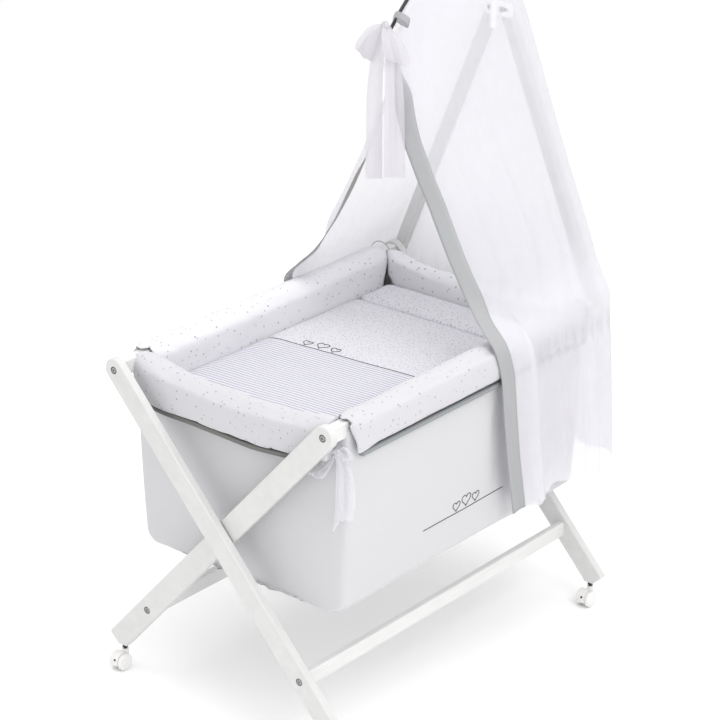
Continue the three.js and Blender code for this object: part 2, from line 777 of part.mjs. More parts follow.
// The veil: one sheet over the rod and the bars, open at the front, made solid with a small thickness.
function veil() {
  const half = VEIL.columns;
  const across = 2 * half;
  const outer = [];
  const id = [];
  for (let row = 0; row < VEIL_ROWS; row += 1) {
    id.push([]);
    for (let column = 0; column <= across; column += 1) {
      const mirrored = Math.min(column, across - column);
      if (row === 0 && column > half) {
        id[0].push(id[0][mirrored]);
        continue;
      }
      const p = veilPoint(mirrored / half, row);
      p.x *= column < half ? -1 : 1;
      id[row].push(outer.length);
      outer.push(p);
    }
  }
  const faces = [];
  for (let row = 0; row + 1 < VEIL_ROWS; row += 1) {
    for (let column = 0; column < across; column += 1) {
      const a = id[row][column];
      const b = id[row][column + 1];
      const c = id[row + 1][column + 1];
      const d = id[row + 1][column];
      faces.push([a, d, c], [a, c, b]);
    }
  }
  const normals = outer.map(() => new THREE.Vector3());
  for (const [a, b, c] of faces) {
    const normal = new THREE.Vector3()
      .subVectors(outer[b], outer[a])
      .cross(new THREE.Vector3().subVectors(outer[c], outer[a]));
    for (const i of [a, b, c]) {
      normals[i].add(normal);
    }
  }
  const inner = outer.map((p, i) => p.clone().addScaledVector(normals[i].normalize(), -VEIL.thickness));
  const rim = [];
  for (let row = 0; row < VEIL_ROWS; row += 1) {
    rim.push(id[row][0]);
  }
  for (let column = 1; column <= across; column += 1) {
    rim.push(id[VEIL_ROWS - 1][column]);
  }
  for (let row = VEIL_ROWS - 2; row >= 0; row -= 1) {
    rim.push(id[row][across]);
  }
  const count = outer.length;
  const index = [];
  for (const [a, b, c] of faces) {
    index.push(a, b, c, count + a, count + c, count + b);
  }
  for (let i = 0; i + 1 < rim.length; i += 1) {
    const a = rim[i];
    const b = rim[i + 1];
    index.push(b, a, count + a, b, count + a, count + b);
  }
  const geometry = new THREE.BufferGeometry();
  const positions = [...outer, ...inner].flatMap((p) => [p.x, p.y, p.z]);
  geometry.setAttribute("position", new THREE.Float32BufferAttribute(positions, 3));
  geometry.setIndex(index);
  return geometry;
}

// The bow tied in front of the rod's tip: a knot, two loops and two hanging tails.
function bow() {
  const front = 74;
  const back = 88;
  const loop = (side, width) =>
    polygon([
      [side * 4, 1438],
      [side * width * 0.5, 1444],
      [side * width, 1398],
      [side * width * 0.95, 1368],
      [side * width * 0.6, 1356],
      [side * 4, 1420],
    ]);
  return join(
    plate(roundedRectangle(-12, 12, 1416, 1446, 5), front - 3, back),
    plate(loop(-1, 78), front, back - 2),
    plate(loop(1, 58), front, back - 2),
    plate(polygon([[-10, 1425], [2, 1425], [-14, 1085], [-58, 1085]]), front + 3, back - 4),
    plate(polygon([[0, 1425], [10, 1425], [50, 1092], [-4, 1092]]), front + 3, back - 4),
  );
}

// ---------- Assembly ----------

const cradle = new THREE.Group();
const outerFrame = new THREE.Group();
const innerFrame = new THREE.Group();
const textiles = new THREE.Group();
const canopy = new THREE.Group();
cradle.add(outerFrame, innerFrame, textiles, canopy);

foldingHalf(outerFrame, "outer", 1);
foldingHalf(innerFrame, "inner", -1);
pivotSet(outerFrame, -1, "foot");
pivotSet(outerFrame, 1, "head");

const OUTER_MIDDLE = (OUTER_FACE + OUTER_INSIDE) / 2;
const INNER_MIDDLE = (INNER_FACE + INNER_INSIDE) / 2;
caster(outerFrame, "caster_foot_right", STEM_X, -OUTER_MIDDLE);
caster(outerFrame, "caster_head_right", STEM_X, OUTER_MIDDLE);
caster(innerFrame, "caster_foot_left", -STEM_X, -INNER_MIDDLE);
caster(innerFrame, "caster_head_left", -STEM_X, INNER_MIDDLE);

piece(textiles, "bag", bag(), MATERIAL.bag);
piece(
  textiles,
  "base_board",
  box(-BOARD.halfWidth, BOARD.halfWidth, BOARD.foot, BOARD.head, BOARD_BOTTOM, BOARD_BOTTOM + BOARD.thickness),
  MATERIAL.board,
);
piece(
  textiles,
  "mattress",
  beddingSlab(MATTRESS.halfWidth, MATTRESS.foot, MATTRESS.head, MATTRESS_BOTTOM, MATTRESS_TOP, 25, 8),
  MATERIAL.foam,
);
piece(textiles, "quilt", beddingSlab(247, -368, 282, MATTRESS_TOP + GAP, 690, 20, 12), MATERIAL.striped);
piece(textiles, "pillow", beddingSlab(232, 288, 398, MATTRESS_TOP + GAP, 680, 30, 14), MATERIAL.speckled);
piece(textiles, "bumper_left", sidePad(-1), MATERIAL.speckled);
piece(textiles, "bumper_right", sidePad(1), MATERIAL.speckled);
piece(textiles, "bumper_foot", endPad(-1, BAG_FOOT, -432, -374), MATERIAL.speckled);
piece(textiles, "bumper_head", endPad(1, BAG_HEAD, 437.5, 403), MATERIAL.speckled);

for (const [side, sideName, extra] of [
  [-1, "left", 0],
  [1, "right", LEG_THICKNESS],
]) {
  piece(canopy, `canopy_bar_${sideName}`, canopyBar(side), MATERIAL.paint);
  const bolt = { ...CANOPY_BOLT, length: CANOPY_BOLT.length + extra };
  placeScrew(canopy, `canopy_bolt_${sideName}`, bolt, side * RAIL_X, CANOPY_BACK - GAP, RAIL_HEIGHT, -1);
  const pinY = BRACKET.front - GAP - TOP_BOLT.headDepth;
  placeScrew(canopy, `canopy_pin_${sideName}`, TOP_BOLT, side * PIN_X, pinY, CANOPY_PIN_HEIGHT, 1);
}
const spacerEnds = [INNER_FACE + GAP, CANOPY_FRONT - GAP];
piece(
  canopy,
  "canopy_spacer_right",
  cut(
    barAlongY(11, RAIL_X, RAIL_HEIGHT, ...spacerEnds, 20),
    barAlongY(SCREW.shank + FIT, RAIL_X, RAIL_HEIGHT, spacerEnds[0] - 1, spacerEnds[1] + 1, 20),
  ),
  MATERIAL.nylon,
);
piece(canopy, "canopy_bracket", canopyBracket(), MATERIAL.whiteMetal);
piece(canopy, "canopy_rod", rod(), MATERIAL.blackMetal);
piece(canopy, "veil", veil(), MATERIAL.veil);
piece(canopy, "bow", bow(), MATERIAL.bow);

export default cradle;
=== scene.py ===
"""Visual model of a folding baby cradle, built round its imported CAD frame. Metres, row frame."""

import json
import math
from contextlib import contextmanager

import bmesh
import bpy
import numpy as np
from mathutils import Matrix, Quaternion, Vector, noise
from mathutils.bvhtree import BVHTree


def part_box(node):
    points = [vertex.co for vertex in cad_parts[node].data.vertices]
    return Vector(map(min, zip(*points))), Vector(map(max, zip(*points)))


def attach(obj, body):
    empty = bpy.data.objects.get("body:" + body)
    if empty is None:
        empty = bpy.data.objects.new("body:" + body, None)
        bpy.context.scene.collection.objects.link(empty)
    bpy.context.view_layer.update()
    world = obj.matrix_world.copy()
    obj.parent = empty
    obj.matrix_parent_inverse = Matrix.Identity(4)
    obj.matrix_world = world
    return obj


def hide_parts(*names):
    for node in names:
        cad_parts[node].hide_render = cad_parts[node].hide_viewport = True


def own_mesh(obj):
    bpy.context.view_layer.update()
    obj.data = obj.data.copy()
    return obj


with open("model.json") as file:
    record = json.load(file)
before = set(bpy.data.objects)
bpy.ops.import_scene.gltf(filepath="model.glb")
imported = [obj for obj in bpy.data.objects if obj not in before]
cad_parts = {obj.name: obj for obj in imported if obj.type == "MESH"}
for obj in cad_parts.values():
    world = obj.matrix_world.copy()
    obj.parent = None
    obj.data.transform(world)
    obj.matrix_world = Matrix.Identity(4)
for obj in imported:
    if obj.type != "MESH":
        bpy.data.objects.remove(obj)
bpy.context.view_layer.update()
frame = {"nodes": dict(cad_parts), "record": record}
scene = bpy.context.scene


# ---------- Camera and light ----------

CAMERA_PLACE = (3.4057, -4.0681, 2.9523)
CAMERA_AZIMUTH, CAMERA_ELEVATION, CAMERA_ROLL = 40.05, 23.65, -0.10
CAMERA_LENS = 130.24
CAMERA_SHIFT = (0.0070, 0.0368)
# name, place, what it aims at, diameter, power
LIGHTS = (
    ("key", (3.6, -1.2, 3.6), (0, 0, 0.6), 3.0, 80),
    ("top", (0.2, 0.2, 4.2), (0, 0, 0.5), 3.2, 52),
    ("low", (0.5, -2.8, 0.3), (0.1, -0.5, 0.1), 1.2, 5.0),
    ("left", (-3.0, -1.9, 2.0), (0, -0.2, 0.6), 0.9, 5.0),
)


def make_camera():
    data = bpy.data.cameras.new("camera")
    data.lens = CAMERA_LENS
    data.sensor_width = 36.0
    data.shift_x, data.shift_y = CAMERA_SHIFT
    data.clip_end = 60.0
    camera = bpy.data.objects.new("camera", data)
    scene.collection.objects.link(camera)
    a, e = math.radians(CAMERA_AZIMUTH), math.radians(CAMERA_ELEVATION)
    back = Vector((math.sin(a) * math.cos(e), -math.cos(a) * math.cos(e), math.sin(e)))
    turn = (-back).to_track_quat("-Z", "Y") @ Quaternion((0, 0, 1), math.radians(CAMERA_ROLL))
    camera.location = CAMERA_PLACE
    camera.rotation_mode = "QUATERNION"
    camera.rotation_quaternion = turn
    scene.camera = camera


def area_light(name, place, aim, size, power):
    data = bpy.data.lights.new(name, "AREA")
    data.shape = "DISK"
    data.size = size
    data.energy = power
    light = bpy.data.objects.new(name, data)
    light.location = place
    light.rotation_mode = "QUATERNION"
    light.rotation_quaternion = (Vector(aim) - Vector(place)).to_track_quat("-Z", "Y")
    scene.collection.objects.link(light)


def make_studio():
    world = bpy.data.worlds.new("studio")
    world.use_nodes = True
    background = world.node_tree.nodes["Background"]
    background.inputs["Color"].default_value = (1.0, 1.0, 1.0, 1.0)
    scene.world = world
    scene.view_settings.view_transform = "Standard"
    scene.view_settings.look = "None"
    for light in LIGHTS:
        area_light(*light)


# ---------- Shader building blocks ----------


def new_material(name, roughness, metallic=0.0, sheen=0.0, specular=0.5):
    material = bpy.data.materials.new(name)
    material.use_nodes = True
    shader = material.node_tree.nodes["Principled BSDF"]
    shader.inputs["Roughness"].default_value = roughness
    shader.inputs["Metallic"].default_value = metallic
    shader.inputs["Sheen Weight"].default_value = sheen
    shader.inputs["Specular IOR Level"].default_value = specular
    return material, material.node_tree, shader


def add(tree, kind, values=(), settings=(), **sockets):
    """A new node. values fills its inputs in order, sockets fills them by name."""
    node = tree.nodes.new(kind)
    for key, value in dict(settings).items():
        setattr(node, key, value)
    for key, value in [*enumerate(values), *((k.replace("_", " "), v) for k, v in sockets.items())]:
        if isinstance(value, bpy.types.NodeSocket):
            tree.links.new(value, node.inputs[key])
        elif value is not None:
            node.inputs[key].default_value = value
    return node


def place_of(tree, kind="Object", scale=(1, 1, 1)):
    coordinate = add(tree, "ShaderNodeTexCoord").outputs[kind]
    if tuple(scale) == (1, 1, 1):
        return coordinate
    return add(tree, "ShaderNodeMapping", Vector=coordinate, Scale=scale).outputs["Vector"]


def noise_of(tree, vector, scale, detail=3.0, roughness=0.55):
    return add(
        tree, "ShaderNodeTexNoise", Vector=vector, Scale=scale, Detail=detail, Roughness=roughness
    ).outputs["Fac"]


def maths(tree, operation, a, b=None, clamp=False):
    settings = {"operation": operation, "use_clamp": clamp}
    return add(tree, "ShaderNodeMath", (a, b), settings).outputs[0]


def ramp(tree, value, low, high, to_low=0.0, to_high=1.0):
    return add(
        tree,
        "ShaderNodeMapRange",
        settings={"interpolation_type": "SMOOTHSTEP"},
        Value=value,
        From_Min=low,
        From_Max=high,
        To_Min=to_low,
        To_Max=to_high,
    ).outputs["Result"]


def blend_colours(tree, share, a, b):
    node = add(tree, "ShaderNodeMix", settings={"data_type": "RGBA"})
    for socket, value in ((node.inputs["Factor"], share), (node.inputs[6], a), (node.inputs[7], b)):
        if isinstance(value, bpy.types.NodeSocket):
            tree.links.new(value, socket)
        else:
            socket.default_value = value if isinstance(value, float) else (*value[:3], 1.0)
    return node.outputs[2]


def bump(tree, shader, height, distance, strength):
    node = add(tree, "ShaderNodeBump", Height=height, Distance=distance, Strength=strength)
    tree.links.new(node.outputs["Normal"], shader.inputs["Normal"])


def colour_with(tree, shader, tint):
    tree.links.new(tint, shader.inputs["Base Color"])


def shade(colour, factor):
    return tuple(c * factor for c in colour)


def wave(tree, vector, axis, pitch, distortion):
    """Soft bands across one axis, one for each pitch."""
    return add(
        tree,
        "ShaderNodeTexWave",
        settings={"bands_direction": axis, "wave_profile": "SIN"},
        Vector=vector,
        Scale=1 / pitch / math.pi,
        Distortion=distortion,
    ).outputs["Fac"]


def cells_of(tree, vector, feature, cell, randomness):
    """A flat Voronoi pattern with cells of the given size."""
    return add(
        tree,
        "ShaderNodeTexVoronoi",
        settings={"voronoi_dimensions": "2D", "feature": feature},
        Vector=vector,
        Scale=1 / cell,
        Randomness=randomness,
    )


# ---------- Materials ----------


def painted_wood(name, colour, stretch):
    """Satin paint over wood: a trace of grain along stretch, brush marks and slight unevenness."""
    material, tree, shader = new_material(name, 0.42)
    along = place_of(tree, scale=stretch)
    grain = noise_of(tree, along, 260, 4.0, 0.6)
    cloudy = noise_of(tree, place_of(tree), 9)
    tint = blend_colours(tree, ramp(tree, grain, 0.35, 0.75), shade(colour, 0.93), colour)
    tint = blend_colours(tree, ramp(tree, cloudy, 0.3, 0.7, 0.0, 0.45), tint, shade(colour, 1.03))
    colour_with(tree, shader, tint)
    tree.links.new(ramp(tree, cloudy, 0.3, 0.7, 0.36, 0.5), shader.inputs["Roughness"])
    bump(tree, shader, grain, 0.0004, 0.35)
    return material


def brushed_metal(name, colour, roughness):
    material, tree, shader = new_material(name, roughness, metallic=1.0)
    scratches = noise_of(tree, place_of(tree, scale=(1, 0.05, 1)), 2400, 2.0)
    tint = blend_colours(tree, scratches, shade(colour, 0.75), colour)
    colour_with(tree, shader, tint)
    polish = ramp(tree, scratches, 0.2, 0.8, roughness * 0.7, roughness * 1.4)
    tree.links.new(polish, shader.inputs["Roughness"])
    bump(tree, shader, scratches, 0.0001, 0.4)
    return material


def coated_metal(name, colour):
    material, tree, shader = new_material(name, 0.4, metallic=0.2)
    grit = noise_of(tree, place_of(tree), 1800, 2.0)
    tint = blend_colours(tree, grit, colour, tuple(c * 1.6 + 0.01 for c in colour))
    colour_with(tree, shader, tint)
    bump(tree, shader, grit, 0.0002, 0.5)
    return material


def moulded_plastic(name, colour, roughness):
    material, tree, shader = new_material(name, roughness)
    fine = noise_of(tree, place_of(tree), 1500, 2.0)
    cloudy = noise_of(tree, place_of(tree), 60, 2.0)
    tint = blend_colours(tree, cloudy, shade(colour, 0.95), colour)
    colour_with(tree, shader, tint)
    tree.links.new(ramp(tree, fine, 0.3, 0.7, roughness * 0.85, roughness * 1.2), shader.inputs["Roughness"])
    bump(tree, shader, fine, 0.0001, 0.35)
    return material


def weave_height(tree, vector, pitch):
    """Over and under threads at the given pitch, from two crossed waves."""
    warp, weft = (wave(tree, vector, axis, pitch, 0.6) for axis in "XY")
    return maths(tree, "MULTIPLY", warp, weft)


def cloth_base(name, colour, sheen=0.25, pitch=0.0011):
    """Woven cotton with slubs. Returns the pieces that a patterned cloth builds on."""
    material, tree, shader = new_material(name, 0.85, sheen=sheen, specular=0.2)
    vector = place_of(tree, "UV")
    slub = noise_of(tree, place_of(tree, "UV", (1, 6, 1)), 160)
    cloudy = noise_of(tree, vector, 14)
    tint = blend_colours(tree, ramp(tree, slub, 0.3, 0.75), shade(colour, 0.965), colour)
    tint = blend_colours(tree, ramp(tree, cloudy, 0.3, 0.7, 0.0, 0.5), tint, shade(colour, 0.975))
    height = maths(tree, "ADD", weave_height(tree, vector, pitch), maths(tree, "MULTIPLY", slub, 0.8))
    return material, tree, shader, vector, tint, height


def plain_cloth(name, colour, **options):
    material, tree, shader, _, tint, height = cloth_base(name, colour, **options)
    colour_with(tree, shader, tint)
    bump(tree, shader, height, 0.0004, 0.4)
    return material


def dots(tree, vector, cell, radius, share):
    """Round specks: one in a share of the cells of an uneven grid, at most one in each."""
    cells = cells_of(tree, vector, "F1", cell, 0.9)
    chosen = add(tree, "ShaderNodeSeparateColor", (cells.outputs["Color"],))
    size = ramp(tree, chosen.outputs["Green"], 0.0, 1.0, radius * 0.7 / cell, radius * 1.15 / cell)
    inside = maths(tree, "LESS_THAN", cells.outputs["Distance"], size)
    picked = maths(tree, "LESS_THAN", chosen.outputs["Red"], share)
    return maths(tree, "MULTIPLY", inside, picked)


def moved_along(tree, vector, offset):
    return add(tree, "ShaderNodeMapping", Vector=vector, Location=offset).outputs["Vector"]


def speckled_cloth(name, colour):
    """Cotton with printed grey specks, some of them in pairs, and faint ribs across the cloth."""
    material, tree, shader, vector, tint, height = cloth_base(name, colour)
    rib = wave(tree, vector, "X", RIB_PITCH, 0.4)
    tint = blend_colours(tree, ramp(tree, rib, 0.0, 1.0, 0.0, 0.6), tint, shade(colour, 0.92))
    height = maths(tree, "ADD", height, maths(tree, "MULTIPLY", rib, 1.2))
    single = dots(tree, vector, SPECK_CELL, SPECK_RADIUS, SPECK_SHARE)
    beside = moved_along(tree, vector, (0.0105, 0.0065, 0))
    twin = dots(tree, beside, SPECK_CELL * 1.3, SPECK_RADIUS * 0.85, SPECK_SHARE * 0.6)
    tint = blend_colours(tree, maths(tree, "MULTIPLY", single, 0.85), tint, PAD_SPECK)
    tint = blend_colours(tree, maths(tree, "MULTIPLY", twin, 0.7), tint, PAD_SPECK)
    colour_with(tree, shader, tint)
    bump(tree, shader, height, 0.0005, 0.4)
    return material


def quilt_cloth(name, ground, stripe, speckled, speck):
    """Two cloths on one quilt: stripes on the foot side of QUILT_LINE, fine specks beyond it."""
    material, tree, shader, vector, tint, height = cloth_base(name, ground)
    parts = add(tree, "ShaderNodeSeparateXYZ", (vector,))
    x0, y0 = QUILT_LINE[0]
    rise = maths(tree, "MULTIPLY", parts.outputs["X"], QUILT_SLOPE)
    level = maths(tree, "SUBTRACT", parts.outputs["Y"], rise)
    beyond = maths(tree, "GREATER_THAN", level, y0 - QUILT_SLOPE * x0)
    phase = maths(tree, "FRACT", maths(tree, "DIVIDE", level, STRIPE_PERIOD))
    thread = ramp(tree, maths(tree, "ABSOLUTE", maths(tree, "SUBTRACT", phase, 0.5)), 0.08, 0.17, 1.0, 0.0)
    uneven = noise_of(tree, vector, 120)
    worn = ramp(tree, uneven, 0.2, 0.7, 0.7, 1.0)
    striped = blend_colours(tree, maths(tree, "MULTIPLY", thread, worn), tint, stripe)
    fine = dots(tree, vector, 0.0075, 0.0012, 0.75)
    second = dots(tree, moved_along(tree, vector, (0.0031, 0.0047, 0)), 0.011, 0.0014, 0.5)
    mottled = blend_colours(tree, ramp(tree, uneven, 0.3, 0.7), speckled, shade(speckled, 0.97))
    mottled = blend_colours(tree, maths(tree, "MULTIPLY", fine, 0.85), mottled, speck)
    mottled = blend_colours(tree, maths(tree, "MULTIPLY", second, 0.9), mottled, speck)
    colour_with(tree, shader, blend_colours(tree, beyond, striped, mottled))
    bump(tree, shader, height, 0.0005, 0.4)
    return material


def sheer_net(name, colour, open_alpha, thread_alpha, gathered=0.0):
    """Tulle: fine threads round small open cells, so part of the light passes straight through.
    gathered is how much denser it is in the skirt below the rails, where it is bunched in folds."""
    material, tree, shader = new_material(name, 0.75, sheen=0.3, specular=0.1)
    vector = place_of(tree, "UV")
    mesh = cells_of(tree, vector, "DISTANCE_TO_EDGE", NET_CELL, 0.35).outputs["Distance"]
    cloudy = noise_of(tree, vector, 11)
    threads = ramp(tree, mesh, 0.08, 0.2, thread_alpha, open_alpha)
    glow_share = 0.40
    if gathered:
        height = add(tree, "ShaderNodeSeparateXYZ", (place_of(tree),)).outputs["Z"]
        bunched = ramp(tree, height, *SKIRT_HEIGHTS, gathered, 0.0)
        threads = maths(tree, "ADD", threads, bunched, clamp=True)
        glow_share = ramp(tree, height, *SKIRT_HEIGHTS, 0.20, 0.52)
    alpha = maths(tree, "ADD", threads, ramp(tree, cloudy, 0.3, 0.7, -0.012, 0.015), clamp=True)
    tint = blend_colours(tree, ramp(tree, cloudy, 0.3, 0.7), shade(colour, 0.985), colour)
    tree.links.new(alpha, shader.inputs["Alpha"])
    colour_with(tree, shader, tint)
    glow = add(tree, "ShaderNodeBsdfTranslucent", Color=tint).outputs[0]
    clear = add(tree, "ShaderNodeBsdfTransparent").outputs[0]
    lit_from_behind = add(tree, "ShaderNodeMixShader", (alpha, clear, glow)).outputs[0]
    both = add(tree, "ShaderNodeMixShader", (glow_share, shader.outputs[0], lit_from_behind)).outputs[0]
    tree.links.new(both, tree.nodes["Material Output"].inputs["Surface"])
    bump(tree, shader, mesh, 0.0003, 0.3)
    return material


STRIPE_PERIOD = 0.0100
RIB_PITCH = 0.0045
SPECK_CELL, SPECK_RADIUS, SPECK_SHARE = 0.024, 0.0022, 0.62
PAD_SPECK = (0.33, 0.325, 0.355)
# The stitched line across the quilt, as two (x, y) ends.
QUILT_LINE = ((-0.248, -0.034), (0.248, 0.002))
QUILT_SLOPE = (QUILT_LINE[1][1] - QUILT_LINE[0][1]) / (QUILT_LINE[1][0] - QUILT_LINE[0][0])
NET_CELL = 0.0016
# The veil is bunched below the first height and open above the second.
SKIRT_HEIGHTS = (0.74, 1.02)
RIBBON = {"sheen": 0.05, "pitch": 0.0008}

MATERIALS = {
    "paint_across": painted_wood("paint_legs", (0.625, 0.623, 0.617), (0.12, 1.0, 0.12)),
    "paint_along": painted_wood("paint_rails", (0.70, 0.698, 0.692), (1.0, 0.05, 1.0)),
    "board": painted_wood("raw_board", (0.55, 0.42, 0.27), (0.3, 0.05, 1.0)),
    "steel": brushed_metal("zinc_screw", (0.42, 0.43, 0.44), 0.33),
    "cup": brushed_metal("pressed_ring", (0.17, 0.17, 0.175), 0.4),
    "brass": brushed_metal("brass_insert", (0.62, 0.47, 0.2), 0.35),
    "nylon": moulded_plastic("nylon", (0.72, 0.71, 0.68), 0.5),
    "caster": moulded_plastic("caster_plastic", (0.76, 0.755, 0.74), 0.34),
    "dark": coated_metal("black_coating", (0.012, 0.012, 0.014)),
    "white_metal": coated_metal("white_coating", (0.72, 0.717, 0.71)),
    "bag": plain_cloth("bag_cotton", (0.58, 0.577, 0.595)),
    "mattress": plain_cloth("mattress_cover", (0.66, 0.66, 0.65)),
    "pad": speckled_cloth("pad_cotton", (0.59, 0.585, 0.61)),
    # A lighter copy of the pad cloth: painted light on the left and head pads, to make up for the shade the
    # veil casts on them.
    "pad_lit": speckled_cloth("pad_cotton_lit", (0.72, 0.715, 0.74)),
    "quilt": quilt_cloth(
        "quilt_cotton",
        ground=(0.63, 0.625, 0.68),
        stripe=(0.20, 0.195, 0.25),
        speckled=(0.62, 0.615, 0.65),
        speck=(0.26, 0.255, 0.29),
    ),
    "trim": plain_cloth("grey_ribbon", (0.375, 0.378, 0.385), sheen=0.1, pitch=0.0008),
    # A darker copy of the grey ribbon for the left trim: painted shade on the ribbon's shaded side.
    "trim_shaded": plain_cloth("grey_ribbon_back", (0.26, 0.255, 0.25), **RIBBON),
    "piping": plain_cloth("dark_piping", (0.19, 0.19, 0.205), **RIBBON),
    "band": plain_cloth("grey_band", (0.165, 0.165, 0.16), **RIBBON),
    # A lighter copy of the grey band for the side pads' bands: painted light.
    "band_lit": plain_cloth("grey_band_side", (0.27, 0.285, 0.29), **RIBBON),
    "thread": plain_cloth("dark_thread", (0.06, 0.06, 0.07), sheen=0.0, pitch=0.0006),
    "veil": sheer_net("veil_tulle", (0.77, 0.76, 0.80), 0.40, 0.71, gathered=0.24),
    "bow": sheer_net("bow_tulle", (0.68, 0.665, 0.70), 0.62, 0.9),
    "tie": sheer_net("tie_tulle", (0.80, 0.79, 0.83), 0.40, 0.74),
    "loop": sheer_net("loop_net", (0.46, 0.46, 0.475), 0.6, 0.9),
}


def paint_cad_nodes():
    chosen = {
        "leg": "paint_across",
        "canopy_bar": "paint_across",
        "rail": "paint_along",
        "crossbar": "paint_along",
        "base_board": "board",
        "pivot_washer": "nylon",
        "canopy_spacer": "nylon",
        "pivot_insert": "brass",
        "canopy_bracket": "white_metal",
        "canopy_rod": "dark",
        "caster": "caster",
    }
    for name, node in frame["nodes"].items():
        found = [key for part, key in chosen.items() if name.startswith(part)]
        key = found[0] if found else "steel"
        if "screw" in name or "bolt" in name or "pin_" in name or name.endswith("axle"):
            key = "steel"
        if name.endswith("_stem"):
            key = "dark"
        node.data.materials.clear()
        node.data.materials.append(MATERIALS[key])


# ---------- Mesh building blocks ----------

PAD_VOXEL = 0.006
PAD_PRESSURE = 4.0
CLOTH_FRAMES = 20


def mesh_object(name, points, faces, material):
    mesh = bpy.data.meshes.new(name)
    mesh.from_pydata([tuple(p) for p in points], [], faces)
    mesh.validate()
    mesh.polygons.foreach_set("use_smooth", [True] * len(mesh.polygons))
    mesh.materials.append(MATERIALS[material])
    piece = bpy.data.objects.new(name, mesh)
    scene.collection.objects.link(piece)
    return piece


def grid_faces(rows, columns, around=False):
    """Faces of a grid of points stored row by row. around joins the last column to the first."""
    faces = []
    for r in range(rows - 1):
        for c in range(columns if around else columns - 1):
            d = (c + 1) % columns
            faces.append((r * columns + c, r * columns + d, (r + 1) * columns + d, (r + 1) * columns + c))
    return faces


def loft(name, sections, material):
    """A closed solid through equal-length rings of points, with a flat face at each end."""
    count = len(sections[0])
    faces = grid_faces(len(sections), count, around=True)
    faces.append(tuple(range(count))[::-1])
    faces.append(tuple(range(len(sections) * count - count, len(sections) * count)))
    piece = mesh_object(name, [p for ring in sections for p in ring], faces, material)
    outward(piece)
    return piece


@contextmanager
def editing(piece):
    """The piece's mesh opened for editing, and written back at the end."""
    work = bmesh.new()
    work.from_mesh(piece.data)
    yield work
    work.to_mesh(piece.data)
    work.free()


def outward(piece):
    with editing(piece) as work:
        bmesh.ops.recalc_face_normals(work, faces=work.faces)


def ring_mesh(name, rings, material):
    """A closed ring: the given loops joined in turn and the last joined back to the first."""
    points = [p for ring in rings for p in ring]
    faces = grid_faces(len(rings) + 1, len(rings[0]), around=True)
    faces = [tuple(i % len(points) for i in face) for face in faces]
    piece = mesh_object(name, points, faces, material)
    outward(piece)
    return piece


def circle(steps):
    """The angles of that many even steps round a circle."""
    return [2 * math.pi * k / steps for k in range(steps)]


TURN = circle(28)


def upright_ring(x, y, z, radius, angles):
    """A circle round a point, standing square to the y axis."""
    return [(x + radius * math.cos(a), y, z + radius * math.sin(a)) for a in angles]


def per_vertex(mesh, what):
    flat = np.zeros(len(mesh.vertices) * 3)
    mesh.vertices.foreach_get(what, flat)
    return flat.reshape(-1, 3)


def grid_normals(grid):
    """The direction square to a grid of points, at each of them."""
    normal = np.cross(np.gradient(grid, axis=1), np.gradient(grid, axis=0))
    return normal / (np.linalg.norm(normal, axis=2)[:, :, None] + 1e-12)


def points_of(piece):
    return per_vertex(piece.data, "co")


def normals_of(piece):
    return per_vertex(piece.data, "normal")


def set_points(piece, points):
    piece.data.vertices.foreach_set("co", np.asarray(points, float).ravel())
    piece.data.update()


def lay_uv(piece, flat):
    """Writes UVs in metres from flat, which turns an array of points into their (u, v)."""
    uv = flat(points_of(piece))
    layer = piece.data.uv_layers.get("flat") or piece.data.uv_layers.new(name="flat")
    corners = np.zeros(len(piece.data.loops), int)
    piece.data.loops.foreach_get("vertex_index", corners)
    layer.data.foreach_set("uv", uv[corners].ravel())


def bake(piece):
    """Replaces the piece's mesh with what its modifiers make of it."""
    evaluated = piece.evaluated_get(bpy.context.evaluated_depsgraph_get())
    made = bpy.data.meshes.new_from_object(evaluated)
    piece.modifiers.clear()
    piece.data = made


def remesh(piece):
    modifier = piece.modifiers.new("remesh", "REMESH")
    modifier.mode = "VOXEL"
    modifier.voxel_size = PAD_VOXEL
    modifier.use_smooth_shade = True
    bake(piece)


def relax(piece, rounds):
    modifier = piece.modifiers.new("relax", "SMOOTH")
    modifier.factor = 0.5
    modifier.iterations = rounds
    bake(piece)


def inflate(piece, cap):
    """Swells a closed soft shape by cloth simulation. cap gives each point's longest way from rest."""
    start = points_of(piece)
    modifier = piece.modifiers.new("cloth", "CLOTH")
    settings = modifier.settings
    settings.use_pressure = True
    settings.uniform_pressure_force = PAD_PRESSURE
    settings.quality = 4
    settings.mass = 0.2
    settings.tension_stiffness = settings.compression_stiffness = 12
    settings.bending_stiffness = 0.6
    settings.effector_weights.gravity = 0
    modifier.point_cache.frame_start = 1
    modifier.point_cache.frame_end = CLOTH_FRAMES
    for number in range(1, CLOTH_FRAMES + 1):
        scene.frame_set(number)
    swollen = per_vertex(piece.evaluated_get(bpy.context.evaluated_depsgraph_get()).data, "co")
    piece.modifiers.clear()
    scene.frame_set(1)
    move = swollen - start
    length = np.linalg.norm(move, axis=1)
    limit = cap(start)
    share = np.where(length > limit, limit / np.maximum(length, 1e-9), 1.0)
    set_points(piece, start + move * share[:, None])


def noise_at(points, scale, shift=(0, 0, 0)):
    """Smooth noise, -1 to 1, at each point after it is scaled and shifted."""
    return np.array([noise.noise(Vector(p * scale + shift)) for p in points])


def ripple(piece, amount, size, seed):
    """Uneven swelling along the normals, by waves of about the given size."""
    points = points_of(piece)
    values = np.array([noise.noise(Vector(p / size) + Vector((seed, 0, 0))) for p in points])
    set_points(piece, points + normals_of(piece) * (values * amount)[:, None])


def subdivided(piece):
    modifier = piece.modifiers.new("smooth", "SUBSURF")
    modifier.levels = modifier.render_levels = 1


